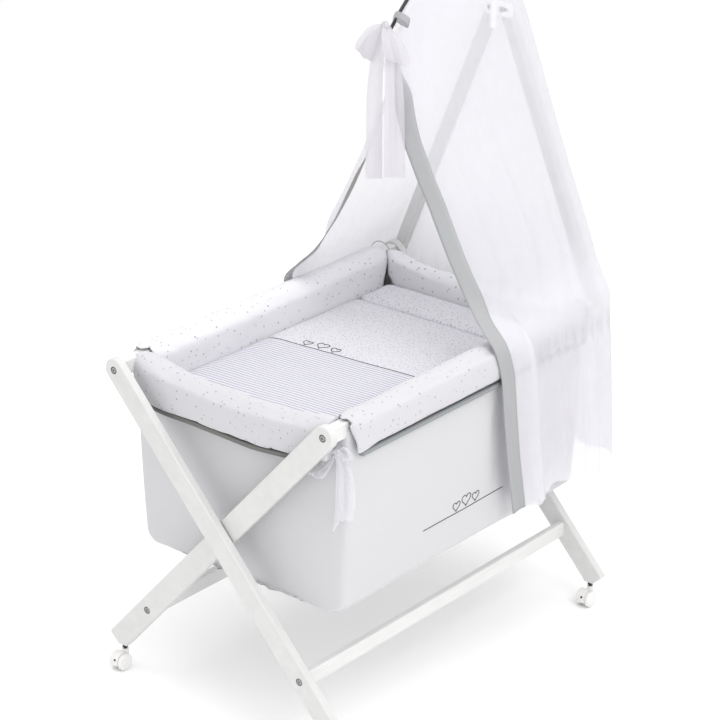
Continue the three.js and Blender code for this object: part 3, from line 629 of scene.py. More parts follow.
def tube(name, path, radius, material, sides=8):
    """A round cord along a path, narrower at its two ends."""
    path = np.asarray(path, float)
    tangents = np.gradient(path, axis=0)
    tangents /= np.linalg.norm(tangents, axis=1)[:, None]
    side = np.cross(tangents[0], (0, 0, 1))
    if np.linalg.norm(side) < 0.1:
        side = np.cross(tangents[0], (0, 1, 0))
    rings = []
    last = len(path) - 1
    for i, (p, t) in enumerate(zip(path, tangents)):
        side = side - t * (side @ t)
        side /= np.linalg.norm(side)
        other = np.cross(t, side)
        width = radius * (0.55 if i in (0, last) else 1.0)
        rings.append([p + width * (math.cos(a) * side + math.sin(a) * other) for a in circle(sides)])
    return loft(name, rings, material)


def strip(name, path, across, width, thickness, material, camber=0.0):
    """A flat ribbon along a path. across is its width direction at each point of the path."""
    path, across = np.asarray(path, float), np.asarray(across, float)
    across = across / np.linalg.norm(across, axis=1)[:, None]
    face = np.cross(np.gradient(path, axis=0), across)
    face /= np.linalg.norm(face, axis=1)[:, None]
    places = [k / 6 - 0.5 for k in range(7)]
    rings = []
    for p, a, n in zip(path, across, face):
        ring = []
        for half, order in ((thickness / 2, places), (-thickness / 2, places[::-1])):
            ring += [p + a * width * s + n * (half + camber * (0.25 - s * s)) for s in order]
        rings.append(ring)
    return loft(name, rings, material)


def smoothstep(low, high, value):
    t = np.clip((value - low) / (high - low), 0, 1)
    return t * t * (3 - 2 * t)


def blurred(stations, half):
    """A function through (position, value) stations, softened over the given half width."""
    xs, ys = np.array(sorted(stations)).T
    offsets = np.linspace(-half, half, 9)
    weights = 1 - np.abs(offsets) / (half * 1.2)
    weights /= weights.sum()

    def value(x):
        x = np.asarray(x, float)
        return sum(w * np.interp(x + o, xs, ys) for w, o in zip(weights, offsets))

    return value


# ---------- Padded covers ----------

# The outer and the inner flap of a side pad, and how far its outer flap reaches down.
SIDE_PAD_THICK = (0.0155, 0.017)
SIDE_PAD_BOTTOM = 0.690
# The radius of a side pad's rounded top, and how clear it stands of the rail inside it.
SIDE_PAD_CROWN = 0.033
RAIL_GAP = 0.0015
# An end pad's inner flap stands over the bed this far out from the middle, and this far clear of it.
BED_HALF, BED_GAP = 0.249, 0.003
# How low that flap reaches beyond the bed, and the height at which an end pad's round top starts.
CORNER_BOTTOM, END_PAD_SPRING = 0.70, 0.735
# How far a pad may swell where it lies on wood, and where it is free.
PAD_HELD, PAD_SWELL = 0.0006, 0.006
END_PAD_HALF = 0.2725
FOOT_PAD_REACH = 0.2890
# The end pads' upper and lower edges, as (x, z).
END_PAD_TOP = blurred([(-0.268, 0.776), (-0.15, 0.763), (0.0, 0.758), (0.15, 0.762), (0.268, 0.775)], 0.03)
END_PAD_BOTTOM = blurred(
    [(-0.272, 0.669), (-0.2, 0.658), (-0.118, 0.659), (-0.016, 0.656), (0.066, 0.653), (0.156, 0.662),
     (0.272, 0.672)], 0.04,
)


def pad_section(outer, inner, thick, top, bottoms, shrink):
    """A folded pad's outline in (across, height): over the rail from its outer to its inner flap.
    thick and bottoms each give two values, for the outer and the inner flap."""
    (outer_thick, inner_thick), (outer_bottom, inner_bottom) = thick, bottoms
    sign = 1 if outer > inner else -1
    middle, radius = (outer + inner) / 2, abs(outer - inner) / 2 - shrink
    spring = top - radius - shrink
    points = []
    rise = spring - outer_bottom - shrink
    for k in range(8):
        points.append((middle + sign * radius, outer_bottom + shrink + rise * k / 8))
    for k in range(13):
        a = math.pi * k / 12
        points.append((middle + sign * radius * math.cos(a), spring + radius * math.sin(a)))
    for k in range(1, 9):
        points.append((middle - sign * radius, spring + (inner_bottom + shrink - spring) * k / 8))
    inside_low = middle - sign * (radius + shrink - inner_thick + shrink)
    inside_high = middle + sign * (radius + shrink - outer_thick + shrink)
    under = top - min(outer_thick, 0.0175) + shrink
    for k in range(8):
        points.append((inside_low, inner_bottom + shrink + (under - inner_bottom - shrink) * k / 8))
    for k in range(5):
        points.append((inside_low + (inside_high - inside_low) * k / 4, under))
    for k in range(1, 9):
        points.append((inside_high, under + (outer_bottom + shrink - under) * k / 8))
    return points


def pad_flat(along, across, middle, spring, radius):
    """UVs for a folded pad: along its length, and round its outline."""

    def flat(points):
        w, z = points[:, across] - middle, points[:, 2] - spring
        turn = np.arctan2(w, np.maximum(z, 0)) * radius
        quarter = np.sign(w) * radius * math.pi / 2
        v = np.where(z > 0, turn, quarter - np.sign(w) * z)
        return np.stack([points[:, along], v], 1)

    return flat


def slanted(points, low_y, high_y):
    """A side pad's ends cut at a slant: its top reaches past the foot end, its inner edge stops short of
    the head."""
    away, z, y = np.abs(points[:, 0]), points[:, 2], points[:, 1]
    over = smoothstep(0.270, 0.285, away) * smoothstep(0.70, 0.775, z) * smoothstep(low_y + 0.08, low_y, y)
    inner_edge = (1 - smoothstep(0.262, 0.282, away)) * (1 - smoothstep(0.69, 0.77, z))
    under = inner_edge * smoothstep(high_y - 0.1, high_y, y)
    moved = points.copy()
    moved[:, 1] -= 0.020 * over + 0.018 * under
    return moved


def across_pad(node, side):
    """Where a side pad's outer and inner faces stand, on either side of the rail."""
    low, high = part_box(node)
    return side * max(abs(low.x), abs(high.x)), side * min(abs(low.x), abs(high.x))


def end_fade(value, stations):
    """0 at the pad's two ends, 1 from 20 mm inside them."""
    return min((value - stations[0]) / 0.02, (stations[-1] - value) / 0.02, 1.0)


def side_pad(name, node, side, seed):
    low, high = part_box(node)
    outer, inner = across_pad(node, side)
    stations = np.linspace(low.y + 0.003, high.y - 0.003, 70)
    sections = []
    for y in stations:
        shrink = 0.002 + 0.003 * (1 - end_fade(y, stations))
        section = pad_section(outer, inner, SIDE_PAD_THICK, high.z, (SIDE_PAD_BOTTOM, low.z), shrink)
        sections.append([(x, y, z) for x, z in section])
    piece = loft(name, sections, "pad")
    middle = (outer + inner) / 2
    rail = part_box("rail_right" if side > 0 else "rail_left")

    def cap(points):
        on_rail = (np.abs(points[:, 0] - middle) < 0.020) & (points[:, 2] < high.z - 0.012)
        return np.where(on_rail, PAD_HELD, PAD_SWELL)

    soften(piece, cap, seed)
    points = points_of(piece)
    rail_top = rail[1].z + RAIL_GAP
    low_x, high_x = rail[0].x - RAIL_GAP, rail[1].x + RAIL_GAP
    held = (points[:, 2] < rail_top) & (points[:, 0] > low_x) & (points[:, 0] < high_x)
    points[held, 2] = np.where(points[held, 2] > rail[1].z - 0.006, rail_top, points[held, 2])
    set_points(piece, slanted(points, low.y, high.y))
    lay_uv(piece, pad_flat(1, 0, middle, high.z - SIDE_PAD_CROWN, SIDE_PAD_CROWN))
    return piece


def soften(piece, cap, seed):
    """Swells a pad and leaves it a little uneven."""
    remesh(piece)
    relax(piece, 2)
    inflate(piece, cap)
    ripple(piece, 0.0024, 0.09, seed)
    ripple(piece, 0.0011, 0.03, seed + 7)
    subdivided(piece)


def end_pad(name, node, seed):
    low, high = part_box(node)
    at_foot = low.y < 0
    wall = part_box("bag")[0 if at_foot else 1].y
    outer, inner = (low.y, high.y) if at_foot else (high.y, low.y)
    half = END_PAD_HALF
    reach = FOOT_PAD_REACH if at_foot else half
    thick = (abs(outer - wall) - 0.002, abs(inner - wall) - 0.005)
    mattress_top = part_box("mattress")[1].z
    stations = np.linspace(-reach + 0.002, half - 0.002, 62)
    sections = []
    for x in stations:
        shrink = 0.002 + 0.002 * (1 - end_fade(x, stations))
        inner_bottom = mattress_top + BED_GAP if abs(x) < BED_HALF else CORNER_BOTTOM
        top = float(END_PAD_TOP(x)) + (0.0 if at_foot else 0.002)
        section = pad_section(outer, inner, thick, top, (float(END_PAD_BOTTOM(x)), inner_bottom), shrink)
        tuck = 1 - 0.45 * smoothstep(half - 0.006, reach, -x)
        sections.append([(x, outer + (y - outer) * tuck, z) for y, z in section])
    piece = loft(name, sections, "pad")

    def cap(points):
        beside_wall = (np.abs(points[:, 1] - wall) < 0.008) & (points[:, 2] < 0.745)
        return np.where(beside_wall, PAD_HELD, PAD_SWELL)

    soften(piece, cap, seed)
    lay_uv(piece, pad_flat(0, 1, (outer + inner) / 2, END_PAD_SPRING, abs(outer - inner) / 2))
    return piece


def skin_points(piece, targets, direction, lift):
    """Each target moved along direction onto the piece's surface and lifted off it."""
    evaluated = piece.evaluated_get(bpy.context.evaluated_depsgraph_get())
    tree = BVHTree.FromObject(evaluated, bpy.context.evaluated_depsgraph_get())
    direction = Vector(direction).normalized()
    found = []
    for target in targets:
        hit = tree.ray_cast(Vector(target) - direction * 0.3, direction)[0]
        found.append((hit if hit is not None else Vector(target)) - direction * lift)
    return [tuple(p) for p in found]


# ---------- Bag ----------

BAG_CORNER = 0.028
BAG_WALL = 0.003
BAG_LOW_HALF = 0.285
BAG_BULGE = 0.006
# How far the cloth waves, how far it is uneven, and how far the end walls hang in.
BAG_SLACK, BAG_UNEVEN, END_SAG = 0.0045, 0.0012, 0.004
# y, width, depth, and on which side: 1 is the right.
BAG_CREASES = (
    (0.110, 0.008, 0.012, 1),
    (0.136, 0.012, 0.010, 1),
    (0.20, 0.02, 0.006, 1),
    (-0.20, 0.03, 0.003, -1),
)


def bag_outline(steps_side, steps_arc, steps_floor):
    """The bag's outline across the cradle, from its top left edge down and round to its top right."""
    low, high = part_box("bag")
    right = []
    start_z = low.z + BAG_CORNER
    for k in range(steps_side + 1):
        share = k / steps_side
        z = start_z + (high.z - start_z) * share
        bulge = BAG_BULGE * math.sin(math.pi * share)
        right.append((BAG_LOW_HALF + (high.x - BAG_LOW_HALF) * (z - low.z) / (high.z - low.z) + bulge, z))
    base = right[0][0] - BAG_CORNER
    arc = []
    for k in range(steps_arc):
        a = math.pi / 2 * k / steps_arc
        arc.append((base + BAG_CORNER * math.sin(a), start_z - BAG_CORNER * math.cos(a)))
    floor = [(base * k / steps_floor, low.z) for k in range(steps_floor)]
    half = floor + arc + right
    return [(-x, z) for x, z in half[:0:-1]] + half


def let_hang(bag):
    """Gives the bag its slack, its creases and the sag of its end walls, all fading out at the top edge."""
    points, normals = points_of(bag), normals_of(bag)
    x, y, z = points.T
    slack = noise_at(points, (3, 5, 2.2)) * BAG_SLACK
    small = noise_at(points, (9, 16, 6), (0, 0, 4)) * BAG_UNEVEN
    on_side = np.abs(normals[:, 0]) > 0.9
    crease = np.zeros(len(points))
    for at, width, depth, side in BAG_CREASES:
        lean = (0.55 - z) * 0.12
        crease -= np.exp(-(((y - at - lean) / width) ** 2)) * depth * (x * side > 0) * on_side
    crease *= smoothstep(0.40, 0.50, z)
    end_sag = -END_SAG * np.clip(1 - (x / 0.26) ** 2, 0, 1) * (np.abs(normals[:, 1]) > 0.9)
    loose = smoothstep(0.70, 0.58, z)
    set_points(bag, points + normals * ((slack + small + crease + end_sag) * loose)[:, None])


def make_bag():
    low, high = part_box("bag")
    outline = bag_outline(22, 6, 12)
    stations = np.linspace(low.y, high.y, 60)
    points = [(x, y, z) for y in stations for x, z in outline]
    count = len(outline)
    faces = grid_faces(len(stations), count)
    middle = count // 2
    columns = 40
    for y in (low.y, high.y):
        base = len(points)
        for k in range(middle + 1):
            x, z = outline[count - 1 - k]
            points += [(-x + 2 * x * c / columns, y, z) for c in range(columns + 1)]
        faces += [tuple(base + i for i in face) for face in grid_faces(middle + 1, columns + 1)]
    piece = mesh_object("bag_shell", points, faces, "bag")
    with editing(piece) as work:
        bmesh.ops.remove_doubles(work, verts=work.verts, dist=0.0004)
        bmesh.ops.dissolve_degenerate(work, edges=work.edges, dist=0.0001)
        bmesh.ops.recalc_face_normals(work, faces=work.faces)
    let_hang(piece)
    relax(piece, 1)

    def flat(p):
        side = np.abs(p[:, 0]) > BAG_LOW_HALF - BAG_CORNER
        end = (p[:, 1] < low.y + 0.004) | (p[:, 1] > high.y - 0.004)
        across = np.where(side & ~end, p[:, 1], p[:, 0])
        return np.stack([across, p[:, 2] + p[:, 1] * (~end & ~side)], 1)

    lay_uv(piece, flat)
    shell = piece.modifiers.new("wall", "SOLIDIFY")
    shell.thickness = BAG_WALL
    shell.offset = -1.0
    subdivided(piece)
    return piece


# ---------- Bedding ----------


def soft_slab(name, low, high, material, corner, round_edge, cap_up, seed, swell):
    """A soft flat piece with rounded corners and edges, swollen by up to cap_up and uneven on top."""
    steps = range(6)
    heights = []
    for level, up, order in ((low[2], 1, steps), (high[2], -1, steps[::-1])):
        for k in order:
            a = math.pi / 2 * k / 5
            heights.append((level + up * round_edge * (1 - math.cos(a)), round_edge * (1 - math.sin(a))))
    sections = []
    for z, inset in heights:
        ring = []
        x0, x1, y0, y1 = low[0] + inset, high[0] - inset, low[1] + inset, high[1] - inset
        r = max(corner - inset, 0.002)
        corners = ((x1 - r, y0 + r, -90), (x1 - r, y1 - r, 0), (x0 + r, y1 - r, 90), (x0 + r, y0 + r, 180))
        for cx, cy, start in corners:
            for k in range(7):
                a = math.radians(start + 15 * k)
                ring.append((cx + r * math.cos(a), cy + r * math.sin(a), z))
        sections.append(ring)
    piece = loft(name, sections, material)
    remesh(piece)
    relax(piece, 3)

    def cap(points):
        top = points[:, 2] > (low[2] + high[2]) / 2
        edge = np.minimum(
            np.minimum(points[:, 0] - low[0], high[0] - points[:, 0]),
            np.minimum(points[:, 1] - low[1], high[1] - points[:, 1]),
        )
        return np.where(top & (edge > 0.004), cap_up, 0.0005)

    inflate(piece, cap)
    points, normals = points_of(piece), normals_of(piece)
    uneven = noise_at(points, (7, 7, 0), (seed, 0, seed))
    fine = noise_at(points, (24, 19, 0), (0, seed, seed))
    top = np.clip(normals[:, 2], 0, 1)
    set_points(piece, points + normals * ((uneven * swell + fine * swell * 0.35) * top)[:, None])
    lay_uv(piece, lambda p: p[:, :2])
    return piece


# The half width and the depth of the quilt's seam, and how far in, how wide and how deep its hem is.
SEAM_HALF, SEAM_DEPTH = 0.006, 0.0022
HEM_IN, HEM_HALF, HEM_DEPTH = 0.022, 0.005, 0.0025


def make_bedding():
    low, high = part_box("mattress")
    mattress = soft_slab("mattress_pad", low, high, "mattress", 0.03, 0.012, 0.0005, 1.0, 0.0)
    low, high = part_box("quilt")
    quilt_low, quilt_high = (-0.2505, -0.371, low.z), (0.2505, 0.284, 0.695)
    quilt = soft_slab("quilt_top", quilt_low, quilt_high, "quilt", 0.014, 0.007, 0.004, 2.3, 0.002)
    points = points_of(quilt)
    level = points[:, 1] - (QUILT_LINE[0][1] + (points[:, 0] - QUILT_LINE[0][0]) * QUILT_SLOPE)
    top = points[:, 2] > (low.z + high.z) / 2
    points[:, 2] -= np.exp(-((level / SEAM_HALF) ** 2)) * SEAM_DEPTH * top
    from_hem = points[:, 1] - high.y + HEM_IN
    points[:, 2] -= np.exp(-((from_hem / HEM_HALF) ** 2)) * HEM_DEPTH * top
    set_points(quilt, points)
    low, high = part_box("pillow")
    pillow_low, pillow_high = (-0.249, 0.2845, low.z), (0.249, 0.4015, 0.697)
    pillow = soft_slab("pillow_top", pillow_low, pillow_high, "quilt", 0.02, 0.009, 0.005, 5.1, 0.002)
    for piece in (mattress, quilt, pillow):
        subdivided(piece)
    return mattress, quilt, pillow


def make_board():
    """The base board under the mattress, with eased edges."""
    low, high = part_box("base_board")
    ease = 0.0012
    sections = []
    for z, inset in ((low.z, ease), (low.z + ease, 0.0), (high.z - ease, 0.0), (high.z, ease)):
        x0, x1, y0, y1 = low.x + inset, high.x - inset, low.y + inset, high.y - inset
        sections.append([(x0, y0, z), (x1, y0, z), (x1, y1, z), (x0, y1, z)])
    piece = loft("board_panel", sections, "board")
    for face in piece.data.polygons:
        face.use_smooth = False
    lay_uv(piece, lambda p: p[:, :2])
    return piece


THREAD_RADIUS = 0.0009


def heart(width):
    """A closed heart outline as flat (across, up) points round its own middle."""
    points = []
    for k in range(23):
        t = 2 * math.pi * k / 22
        x = 16 * math.sin(t) ** 3
        y = 13 * math.cos(t) - 5 * math.cos(2 * t) - 2 * math.cos(3 * t) - math.cos(4 * t)
        points.append((x / 32 * width, (y + 2.5) / 32 * width))
    return points


def stitched(name, line, surface, direction):
    """A line of thread laid on a surface."""
    line = skin_points(surface, line, direction, THREAD_RADIUS * 0.4)
    return tube(name, line, THREAD_RADIUS, "thread", sides=6)


def motif(name, surface, start, end, centres, width, up, direction):
    """A stitched line from start to end with small hearts standing on it. centres gives each heart's
    share of the line and its scale, up is the hearts' height axis."""
    start, end, up = np.array(start), np.array(end), np.array(up, float)
    along = (end - start) / np.linalg.norm(end - start)
    line = [start + (end - start) * k / 60 for k in range(61)]
    made = [stitched(name + "_line", line, surface, direction)]
    for number, (share, scale) in enumerate(centres):
        size = width * scale
        middle = start + (end - start) * share + up * size * 0.62
        outline = [middle + along * x + up * y for x, y in heart(size)]
        made.append(stitched(f"{name}_heart_{number + 1}", outline, surface, direction))
    return made


# ---------- Veil ----------

# The canopy rod's middle line, as (y, z).
ROD_POINTS = [
    (0.468, 1.3583), (0.468, 1.400), (0.465, 1.442), (0.430, 1.492), (0.365, 1.527),
    (0.290, 1.538), (0.222, 1.523), (0.171, 1.487), (0.134, 1.455), (0.097, 1.418),
]
# The share of a half's width at which the veil turns the corner to the back, and where its back hangs.
VEIL_CORNER = 0.62
VEIL_BACK = 0.507
# The front edge's x and y and the corner's x, at each height.
FRONT_X = blurred(
    [(1.50, 0.004), (1.40, 0.006), (1.25, 0.014), (1.18, 0.036), (1.10, 0.077), (1.02, 0.125), (0.948, 0.172),
     (0.86, 0.236), (0.81, 0.287), (0.79, 0.312), (0.77, 0.325), (0.30, 0.325)], 0.022,
)
FRONT_Y = blurred(
    [(1.44, 0.100), (1.40, 0.104), (1.05, 0.104), (0.95, 0.092), (0.85, 0.079), (0.81, 0.069), (0.77, 0.068),
     (0.71, 0.088), (0.60, 0.100), (0.50, 0.114), (0.37, 0.138), (0.335, 0.143)], 0.02,
)
CORNER_X = blurred(
    [(1.55, 0.010), (1.50, 0.016), (1.412, 0.054), (0.860, 0.283), (0.805, 0.315), (0.790, 0.324),
     (0.770, 0.326), (0.30, 0.326)], 0.010,
)
# The hem's height along the side, from the front edge to the corner, and at the back.
HEM = blurred(
    [(0.0, 0.363), (0.09, 0.370), (0.19, 0.380), (0.476, 0.384), (0.70, 0.345), (0.88, 0.341), (1.0, 0.372)],
    0.05,
)
HEM_BACK = 0.366


def smooth_curve(points):
    """A centripetal Catmull-Rom curve through the points, as 400 points evenly spaced along it."""
    first, last = 2 * np.array(points[0]) - points[1], 2 * np.array(points[-1]) - points[-2]
    p = np.array([first, *points, last], float)
    found = []
    for i in range(len(p) - 3):
        p0, p1, p2, p3 = p[i : i + 4]
        d0, d1, d2 = (np.linalg.norm(b - a) ** 0.5 for a, b in ((p0, p1), (p1, p2), (p2, p3)))
        m1 = ((p1 - p0) / d0 - (p2 - p0) / (d0 + d1) + (p2 - p1) / d1) * d1
        m2 = ((p2 - p1) / d1 - (p3 - p1) / (d1 + d2) + (p3 - p2) / d2) * d1
        for k in range(12):
            t = k / 12
            a, b = 2 * t**3 - 3 * t**2 + 1, t**3 - 2 * t**2 + t
            c, d = -2 * t**3 + 3 * t**2, t**3 - t**2
            found.append(a * p1 + b * m1 + c * p2 + d * m2)
    found.append(p[-2])
    found = np.array(found)
    run = lengths_along(found)
    even = np.linspace(0, run[-1], 400)
    return np.stack([np.interp(even, run, found[:, i]) for i in range(found.shape[1])], 1)


def lengths_along(points):
    """How far along the line through them each of the points lies."""
    return np.concatenate([[0], np.cumsum(np.linalg.norm(np.diff(points, axis=0), axis=1))])


ROD_LINE = smooth_curve(ROD_POINTS)
# The veil lies over the rod in rows of (drop, half width) below its ridge.
RIDGE_LIFT = -0.0058
RIDGE_DROPS = ((0.0, 0.0), (0.0012, 0.0035), (0.004, 0.0065), (0.008, 0.0082), (0.012, 0.0095))
UPPER_ROWS, LOWER_ROWS = 46, 46
SHOULDER = 0.860
VEIL_COLUMNS = 90
# How far the veil's sides bulge, its back flares at the hem, and its left front edge stands back.
VEIL_BULGE, BACK_FLARE, LEFT_SET_BACK = 0.055, 0.024, 0.045
# The numbers of narrow pleats, broad folds and puckers round one half of the veil.
PLEATS, BROAD_FOLDS, PUCKERS = 10.5, 4.2, 34
# How deep the skirt's pleats, the fold beside the front edge, the puckers and the radial folds are.
PLEAT_DEPTH, DRAPE_DEPTH, PUCKER_DEPTH, RADIAL_DEPTH = 0.012, 0.030, 0.008, 0.006
PUCKER_HEIGHT = 0.715
RADIAL_FOLDS = (0.10, 0.19, 0.29, 0.42)


def veil_surface(side, f):
    """One half of the veil without its folds, as rows of points from ridge to hem.
    f is each column's share of the way from the front edge to the middle of the back."""
    along = np.minimum(f / VEIL_CORNER, 1)
    turn = np.clip((f - VEIL_CORNER) / (1 - VEIL_CORNER), 0, 1)
    index = (0.93 - 0.62 * along) * (len(ROD_LINE) - 1)
    numbers = np.arange(len(ROD_LINE))
    slope = np.gradient(ROD_LINE, axis=0)
    slope /= np.linalg.norm(slope, axis=1)[:, None]
    rod_y, rod_z = (np.interp(index, numbers, ROD_LINE[:, i]) for i in (0, 1))
    slope_y, slope_z = (np.interp(index, numbers, slope[:, i]) for i in (0, 1))
    ridge_y = (rod_y + RIDGE_LIFT * slope_z) * (1 - turn) + VEIL_BACK * turn
    ridge_z = rod_z - RIDGE_LIFT * slope_y - 0.012 * turn
    hem = np.where(along < 1, HEM(along), HEM(1.0) * (1 - turn) + HEM_BACK * turn)
    rows = [np.stack([half * (1 - turn), ridge_y, ridge_z - drop], 1) for drop, half in RIDGE_DROPS]
    levels = []
    for k in range(1, UPPER_ROWS + 1):
        share = (k / UPPER_ROWS) ** 1.15
        levels.append((ridge_z - RIDGE_DROPS[-1][0]) * (1 - share) + SHOULDER * share)
    for k in range(1, LOWER_ROWS + 1):
        levels.append(SHOULDER + (hem - SHOULDER) * (k / LOWER_ROWS))
    behind = along * (VEIL_BACK - 0.10)
    if side > 0:
        bulge, set_back = VEIL_BULGE * (1 - np.exp(-behind / 0.016)), 0.0
    else:
        bulge, set_back = VEIL_BULGE * smoothstep(0.0, 0.085, behind), LEFT_SET_BACK
    for z in levels:
        height = smoothstep(0.82, 0.93, z) * smoothstep(1.38, 1.20, z)
        x = FRONT_X(z) * (1 - along) + CORNER_X(z) * along + bulge * height * (1 - along)
        front_y = FRONT_Y(z) + set_back * smoothstep(1.15, 0.86, z)
        back_y = VEIL_BACK + BACK_FLARE * smoothstep(0.80, 0.40, z)
        y = front_y * (1 - along) + back_y * along
        fresh = smoothstep(0.0, 0.07, ridge_z - z)
        y = ridge_y * (1 - fresh) + y * fresh
        rows.append(np.stack([x * (1 - turn), y, z + 0 * x], 1))
    grid = np.array(rows)
    loose = grid[len(RIDGE_DROPS) + 2 :]
    for _ in range(5):
        loose[:, 1:-1] = loose[:, 1:-1] * 0.5 + (loose[:, :-2] + loose[:, 2:]) * 0.25
    return grid


def fold_depths(z, run, seed):
    """How far the veil's folds push it out, at each height and share of the way to the back."""
    skirt = smoothstep(0.79, 0.60, z)
    tent = smoothstep(0.80, 0.98, z) * smoothstep(1.50, 1.36, z)
    sway = [noise.noise(Vector((u * 3.1 + seed, h * 2.0, seed))) for u, h in zip(run.ravel(), z.ravel())]
    sway = np.array(sway).reshape(z.shape)
    pleat = 0.5 + 0.5 * np.sin(2 * math.pi * (run * PLEATS + 0.5 * sway + seed))
    broad = 0.5 + 0.5 * np.sin(2 * math.pi * (run * BROAD_FOLDS + 0.35 * sway + seed * 0.37))
    edge = smoothstep(0.0, 0.09, run) * 0.8 + 0.2
    push = skirt * (0.002 + PLEAT_DEPTH * pleat**1.5 * (0.5 + 0.6 * smoothstep(0.7, 0.33, z))) * edge
    drape = smoothstep(0.03, 0.125, run) * (1 - smoothstep(0.140, 0.151, run)) * smoothstep(0.85, 0.78, z)
    push = push + drape * DRAPE_DEPTH
    pucker = np.exp(-(((z - PUCKER_HEIGHT) / 0.03) ** 2)) * smoothstep(0.16, 0.2, run)
    push = push - pucker * PUCKER_DEPTH * (0.5 + 0.5 * np.sin(2 * math.pi * run * PUCKERS))
    push = push + tent * (0.007 * broad + 0.003 * pleat) * edge
    radial = sum(np.exp(-(((run - at) / 0.022) ** 2)) for at in RADIAL_FOLDS)
    return push + radial * RADIAL_DEPTH * smoothstep(0.78, 0.86, z) * smoothstep(1.25, 1.0, z)


def veil_half(side, seed):
    """One half of the veil with its folds. side is 1 for the right half, -1 for the left."""
    f = np.linspace(0, 1, VEIL_COLUMNS)
    grid = veil_surface(side, f)
    normal = grid_normals(grid)
    flip = np.sign((normal * (grid - np.array([0, 0.30, 0]))).sum(axis=2))
    normal *= flip[:, :, None]
    normal[:, :, 2] *= 0.3
    z = grid[:, :, 2]
    push = fold_depths(z, np.broadcast_to(f, z.shape), seed)
    grid = grid + normal * push[:, :, None]
    grid[:, -1, 0] = 0.0
    grid[:, :, 0] *= side
    return grid


def make_veil():
    right = veil_half(1, 0.13)
    left = veil_half(-1, 0.71)
    middle = (right[:, -1] + left[:, -1]) / 2
    whole = np.concatenate([right[:, :-1], middle[:, None], left[:, -2::-1]], axis=1)
    rows, columns = whole.shape[:2]
    points = list(whole.reshape(-1, 3))
    ridge_pairs = {columns - 1 - c: c for c in range(VEIL_COLUMNS - 1)}
    faces = []
    for face in grid_faces(rows, columns):
        merged = tuple(ridge_pairs.get(i, i) if i < columns else i for i in face)
        if len(set(merged)) >= 3:
            faces.append(merged)
    piece = mesh_object("veil_tulle", points, faces, "veil")
    with editing(piece) as work:
        bmesh.ops.delete(work, geom=[v for v in work.verts if not v.link_faces], context="VERTS")
    lay_uv(piece, lambda p: np.stack([p[:, 1] + p[:, 0] * 0.9, p[:, 2]], 1))
    return piece, right, left


TRIM_WIDTH = 0.040
# The width direction of a ribbon that shows its edge to someone at the right foot corner.
EDGE_ON = np.array((-0.55, 0.66, -0.51))


def right_twist(z):
    """How far the right ribbon is turned edge-on at a height, from 0 to 1."""
    return 0.75 * float(smoothstep(1.25, 1.39, z))


def left_twist(z):
    """The same for the left ribbon."""
    return 0.48 * float(smoothstep(0.80, 0.90, z)) - 0.32 * float(smoothstep(0.93, 1.03, z))


def front_trim(name, half, top, material, twist):
    """The grey ribbon sewn along one front edge of the veil, on its outside, and turned by twist."""
    rings = []
    for row in half:
        if row[0][2] > top:
            continue
        run = lengths_along(row)
        width = TRIM_WIDTH * (0.15 + 0.85 * smoothstep(top, top - 0.13, row[0][2]))
        at = np.linspace(0, width, 7)
        line = np.stack([np.interp(at, run, row[:, i]) for i in range(3)], 1)
        turned = line[0] + at[:, None] * EDGE_ON
        share = twist(row[0][2])
        rings.append(line * (1 - share) + turned * share)
    grid = np.array(rings)
    normal = grid_normals(grid)
    outside = np.sign((normal[:, :, 0] * grid[:, :, 0]).sum()) or 1.0
    outer = grid + normal * outside * 0.0018
    inner = grid + normal * outside * 0.0008
    rings = [list(outer[k]) + list(inner[k][::-1]) for k in range(len(grid))]
    piece = loft(name, rings, material)
    lay_uv(piece, lambda p: np.stack([p[:, 1], p[:, 2]], 1))
    return piece


# ---------- Bows ----------


def ribbon_grid(path, across, widths, pleats, depth, seed):
    """One gathered band of tulle as a grid of points along a path, pleated across its width."""
    path = smooth_curve(path)[::8]
    share = np.linspace(0, 1, len(path))
    width = np.interp(share, np.linspace(0, 1, len(widths)), widths)
    stops = np.linspace(0, 1, len(across))
    across = np.array([np.interp(share, stops, [a[i] for a in across]) for i in range(3)]).T
    across /= np.linalg.norm(across, axis=1)[:, None]
    face = np.cross(np.gradient(path, axis=0), across)
    face /= np.linalg.norm(face, axis=1)[:, None] + 1e-9
    s = np.linspace(-0.5, 0.5, 18)
    broad = np.sin(2 * math.pi * (pleats * s[None, :] + 0.25 * share[:, None] + seed))
    small = np.sin(2 * math.pi * (pleats * 2.3 * s[None, :] + seed * 3)) * 0.3
    open_up = 0.35 + 0.65 * np.sin(math.pi * np.clip(share, 0.05, 0.95))
    lift = depth * (broad + small) * open_up[:, None]
    spread = across[:, None] * (width[:, None] * s[None, :])[:, :, None]
    return path[:, None] + spread + face[:, None] * lift[:, :, None]


def knot_grid(centre, radius, height):
    """The band round the middle of a bow: a short, pinched, pleated tube."""
    x, y, z = centre
    rows = []
    for k in range(9):
        t = k / 8 - 0.5
        ring = []
        for a in TURN:
            r = radius * (1.12 - 0.5 * (2 * t) ** 2) * (1 + 0.10 * math.sin(5 * a + 3 * t))
            ring.append((x + r * math.cos(a), y + 0.75 * r * math.sin(a), z + height * t))
        ring.append(ring[0])
        rows.append(ring)
    return np.array(rows)


def tulle_bow(name, material, grids):
    points, faces = [], []
    for grid in grids:
        base = len(points)
        rows, columns = grid.shape[:2]
        points += list(grid.reshape(-1, 3))
        faces += [tuple(base + i for i in face) for face in grid_faces(rows, columns)]
    piece = mesh_object(name, points, faces, material)
    with editing(piece) as work:
        bmesh.ops.remove_doubles(work, verts=work.verts, dist=0.00005)
    lay_uv(piece, lambda p: np.stack([p[:, 0] + p[:, 1] * 0.4, p[:, 2]], 1))
    return piece


# The width direction of the bows' tails.
FACING = (0.77, 0.64, 0.0)


